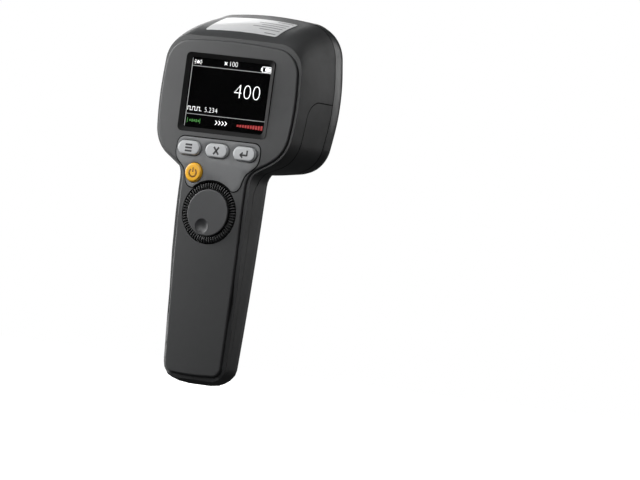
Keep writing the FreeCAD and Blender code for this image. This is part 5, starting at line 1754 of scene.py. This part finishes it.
@dataclass
class Label(SubAssembly):
    """The silver label on the top of the head, with plain rules where lines of print would be.

    Attributes:
        margin: The distance of the rules from the label's edge.
        line: The width of a rule.
        lift: How far a rule stands on the label.
        above: A height above the whole label, from which the rules are laid down.
        ends: The lengths of the first and the last rule.
        starts: Where the rules between them start across.
        shares: Where each rule lies between the label's far and near edge.
    """

    margin: float = 2.2
    line: float = 0.9
    lift: float = 0.02
    above: float = 70.0
    ends: tuple[float, float] = (11.0, 8.0)
    starts: tuple[float, ...] = (2.0, 6.0, 2.0, 9.0)
    shares: tuple[float, ...] = (0.0, 0.24, 0.42, 0.60, 0.78, 1.0)

    def build(self) -> None:
        """Dress the label and print the rules on one half of it."""
        plate = self.dressed("rating_label", "top_label", Finish.label_silver)
        whole = Extent.of("rating_label")
        far, near = whole.back - self.margin, whole.front + self.margin
        right = whole.high[0] / MM - self.margin
        starts = (right - self.ends[0], *self.starts, right - self.ends[1])
        lines = [self.rule(start, right, far + (near - far) * share, plate)
                 for start, share in zip(starts, self.shares)]
        self.hand_over(join(lines), "label_rules", Finish.label_print, slot="label_silver")

    def rule(self, start: float, end: float, depth: float, plate: bpy.types.Object) -> bpy.types.Object:
        """Print one rule across the label, following its curve.

        Args:
            start: Where the rule starts across, in millimetres.
            end: Where it ends.
            depth: Its place along the light, in millimetres.
            plate: The label that it lies on.

        Returns:
            The rule, a thin closed strip.
        """
        put_down()
        bpy.ops.mesh.primitive_grid_add(x_subdivisions=20, y_subdivisions=2, size=1.0,
                                        location=spot((start + end) / 2.0, depth, self.above))
        bpy.context.object.scale = ((end - start) * MM, self.line * MM, 1.0)
        strip = settle(bpy.context.object)
        wrap = strip.modifiers.new("lay", "SHRINKWRAP")
        wrap.target = plate
        wrap.wrap_method = "PROJECT"
        wrap.use_project_z = wrap.use_negative_direction = True
        wrap.use_positive_direction = False
        wrap.offset = self.lift * MM
        strip.modifiers.new("ink", "SOLIDIFY").thickness = self.lift * MM
        apply_modifiers(strip)
        return strip


# ---------------------------------------------------------------- studio

@dataclass(frozen=True)
class Softbox:
    """A soft rectangular light, placed from the middle of the instrument in metres.

    Attributes:
        name: The light's name.
        side: How far it hangs to the picture's right.
        near: How far it hangs towards the camera.
        up: How far it hangs up.
        size: Its width and height.
        power: Its power in watts.
        ahead: How far it hangs forward along the light's direction.
        aim: How far over the middle it is aimed.
    """

    name: str
    side: float
    near: float
    up: float
    size: tuple[float, float]
    power: float
    ahead: float = 0.0
    aim: float = 0.0


@dataclass
class Studio:
    """The pale floor, the soft lights and the camera.

    Attributes:
        target: The point that the camera looks at, in metres.
        right: The picture's right in the frame.
        up: The picture's up in the frame.
        distance: The camera's distance in metres.
        lens_share: The lens's focal length in millimetres for each millimetre of distance.
        sensor: The width of the camera's sensor in millimetres.
        far_end: How far the camera sees, in metres.
        middle: The middle of the instrument.
        floor_size: The length of the floor's sides in metres.
        ambient: The colour of the light from all round.
        lights: The soft lights.
    """

    target: Vector = field(default_factory=lambda: Vector((0.05894, 0.01918, 0.03462)))
    right: Vector = field(default_factory=lambda: Vector((0.8559, 0.4998, 0.1329)))
    up: Vector = field(default_factory=lambda: Vector((-0.1061, -0.0818, 0.9910)))
    distance: float = 4.5
    lens_share: float = 0.091496
    sensor: float = 36.0
    far_end: float = 50.0
    middle: Vector = field(default_factory=lambda: Vector((0.0, 0.02, 0.06)))
    floor_size: float = 12.0
    ambient: Colour = (0.06, 0.061, 0.062)
    lights: tuple[Softbox, ...] = (
        Softbox("key light", -0.32, 0.45, 0.30, (0.28, 0.28), 1.9, aim=0.06),
        Softbox("near light", -0.50, 0.05, 0.30, (0.3, 0.3), 1.5, aim=0.06),
        Softbox("left light", -1.3, -0.5, 0.3, (0.3, 1.2), 26.0),
        Softbox("right rim", 1.2, -0.7, 0.36, (0.3, 1.2), 5.2),
        Softbox("lamp side light", -0.3, -1.4, 0.6, (0.7, 0.7), 7.0),
        Softbox("top light", 0.0, 0.0, 1.5, (1.2, 1.2), 3.5, ahead=0.05))

    @property
    def towards(self) -> Vector:
        """The direction from the instrument to the camera."""
        return self.right.cross(self.up).normalized()

    def build(self) -> None:
        """Set up the whole studio."""
        bpy.context.scene.view_settings.view_transform = "Standard"
        self.camera()
        self.floor()
        self.surroundings()
        for light in self.lights:
            self.hang(light)

    def camera(self) -> None:
        """Place the camera at the picture's angle."""
        towards = self.towards
        side = self.up.cross(towards).normalized()
        turn = Matrix((side, towards.cross(side), towards)).transposed().to_4x4()
        lens = bpy.data.cameras.new("camera")
        lens.sensor_width = self.sensor
        lens.lens = self.lens_share * self.distance / MM
        lens.clip_end = self.far_end
        holder = bpy.data.objects.new("camera", lens)
        holder.matrix_world = Matrix.Translation(self.target + towards * self.distance) @ turn
        bpy.context.collection.objects.link(holder)
        bpy.context.scene.camera = holder

    def floor(self) -> None:
        """Make the pale floor, which shines evenly and lights nothing."""
        put_down()
        bpy.ops.mesh.primitive_plane_add(size=self.floor_size, location=(0.0, 0.0, CAD_BOX[0][2]))
        sheet = settle(bpy.context.object)
        sheet.name = "floor"
        material = bpy.data.materials.new("floor")
        graph = bare_graph(material)
        shader = graph.add("ShaderNodeBsdfPrincipled")
        cloud = graph.noise(scaled_place(graph, 0.8), 1.0)
        graph.join(graph.blend(cloud, (0.86, 0.86, 0.86), (0.90, 0.90, 0.90)), shader.inputs["Base Color"])
        shader.inputs["Roughness"].default_value = 0.9
        graph.join(shader.outputs[0], graph.add("ShaderNodeOutputMaterial").inputs["Surface"])
        shader.inputs["Emission Color"].default_value = (1.0, 1.0, 1.0, 1.0)
        shader.inputs["Emission Strength"].default_value = 1.0
        sheet.data.materials.append(material)
        sheet.visible_diffuse = False
        sheet.visible_glossy = False

    def surroundings(self) -> None:
        """Give the studio a soft even light from all round, seen as white by the camera."""
        world = bpy.data.worlds.new("studio")
        bpy.context.scene.world = world
        graph = bare_graph(world)
        seen = graph.add("ShaderNodeLightPath").outputs["Is Camera Ray"]
        ground = graph.add("ShaderNodeBackground")
        graph.join(graph.blend(seen, self.ambient, (1.0, 1.0, 1.0)), ground.inputs["Color"])
        graph.join(ground.outputs[0], graph.add("ShaderNodeOutputWorld").inputs["Surface"])

    def hang(self, light: Softbox) -> None:
        """Hang a soft light and aim it.

        Args:
            light: The light.
        """
        lamp = bpy.data.lights.new(light.name, "AREA")
        lamp.shape = "RECTANGLE"
        lamp.size, lamp.size_y = light.size
        lamp.energy = light.power
        holder = bpy.data.objects.new(light.name, lamp)
        holder.location = (self.middle + self.towards * light.near + self.right.normalized() * light.side
                           + Vector((0.0, light.ahead, light.up)))
        aimed = self.middle + Vector((0.0, 0.0, light.aim)) - holder.location
        holder.rotation_euler = aimed.to_track_quat("-Z", "Y").to_euler()
        holder.visible_camera = False
        bpy.context.collection.objects.link(holder)


# ---------------------------------------------------------------- the work in order

def main() -> None:
    """Build the sub-assemblies in order and light them."""
    logging.basicConfig(level=logging.INFO, format="%(name)s: %(message)s")
    for part in (Hardware, Shells, Seams, Screen, Keys, Dial, Lamp, Label, Studio):
        part().build()
    put_down()


if __name__ == "__main__":
    main()
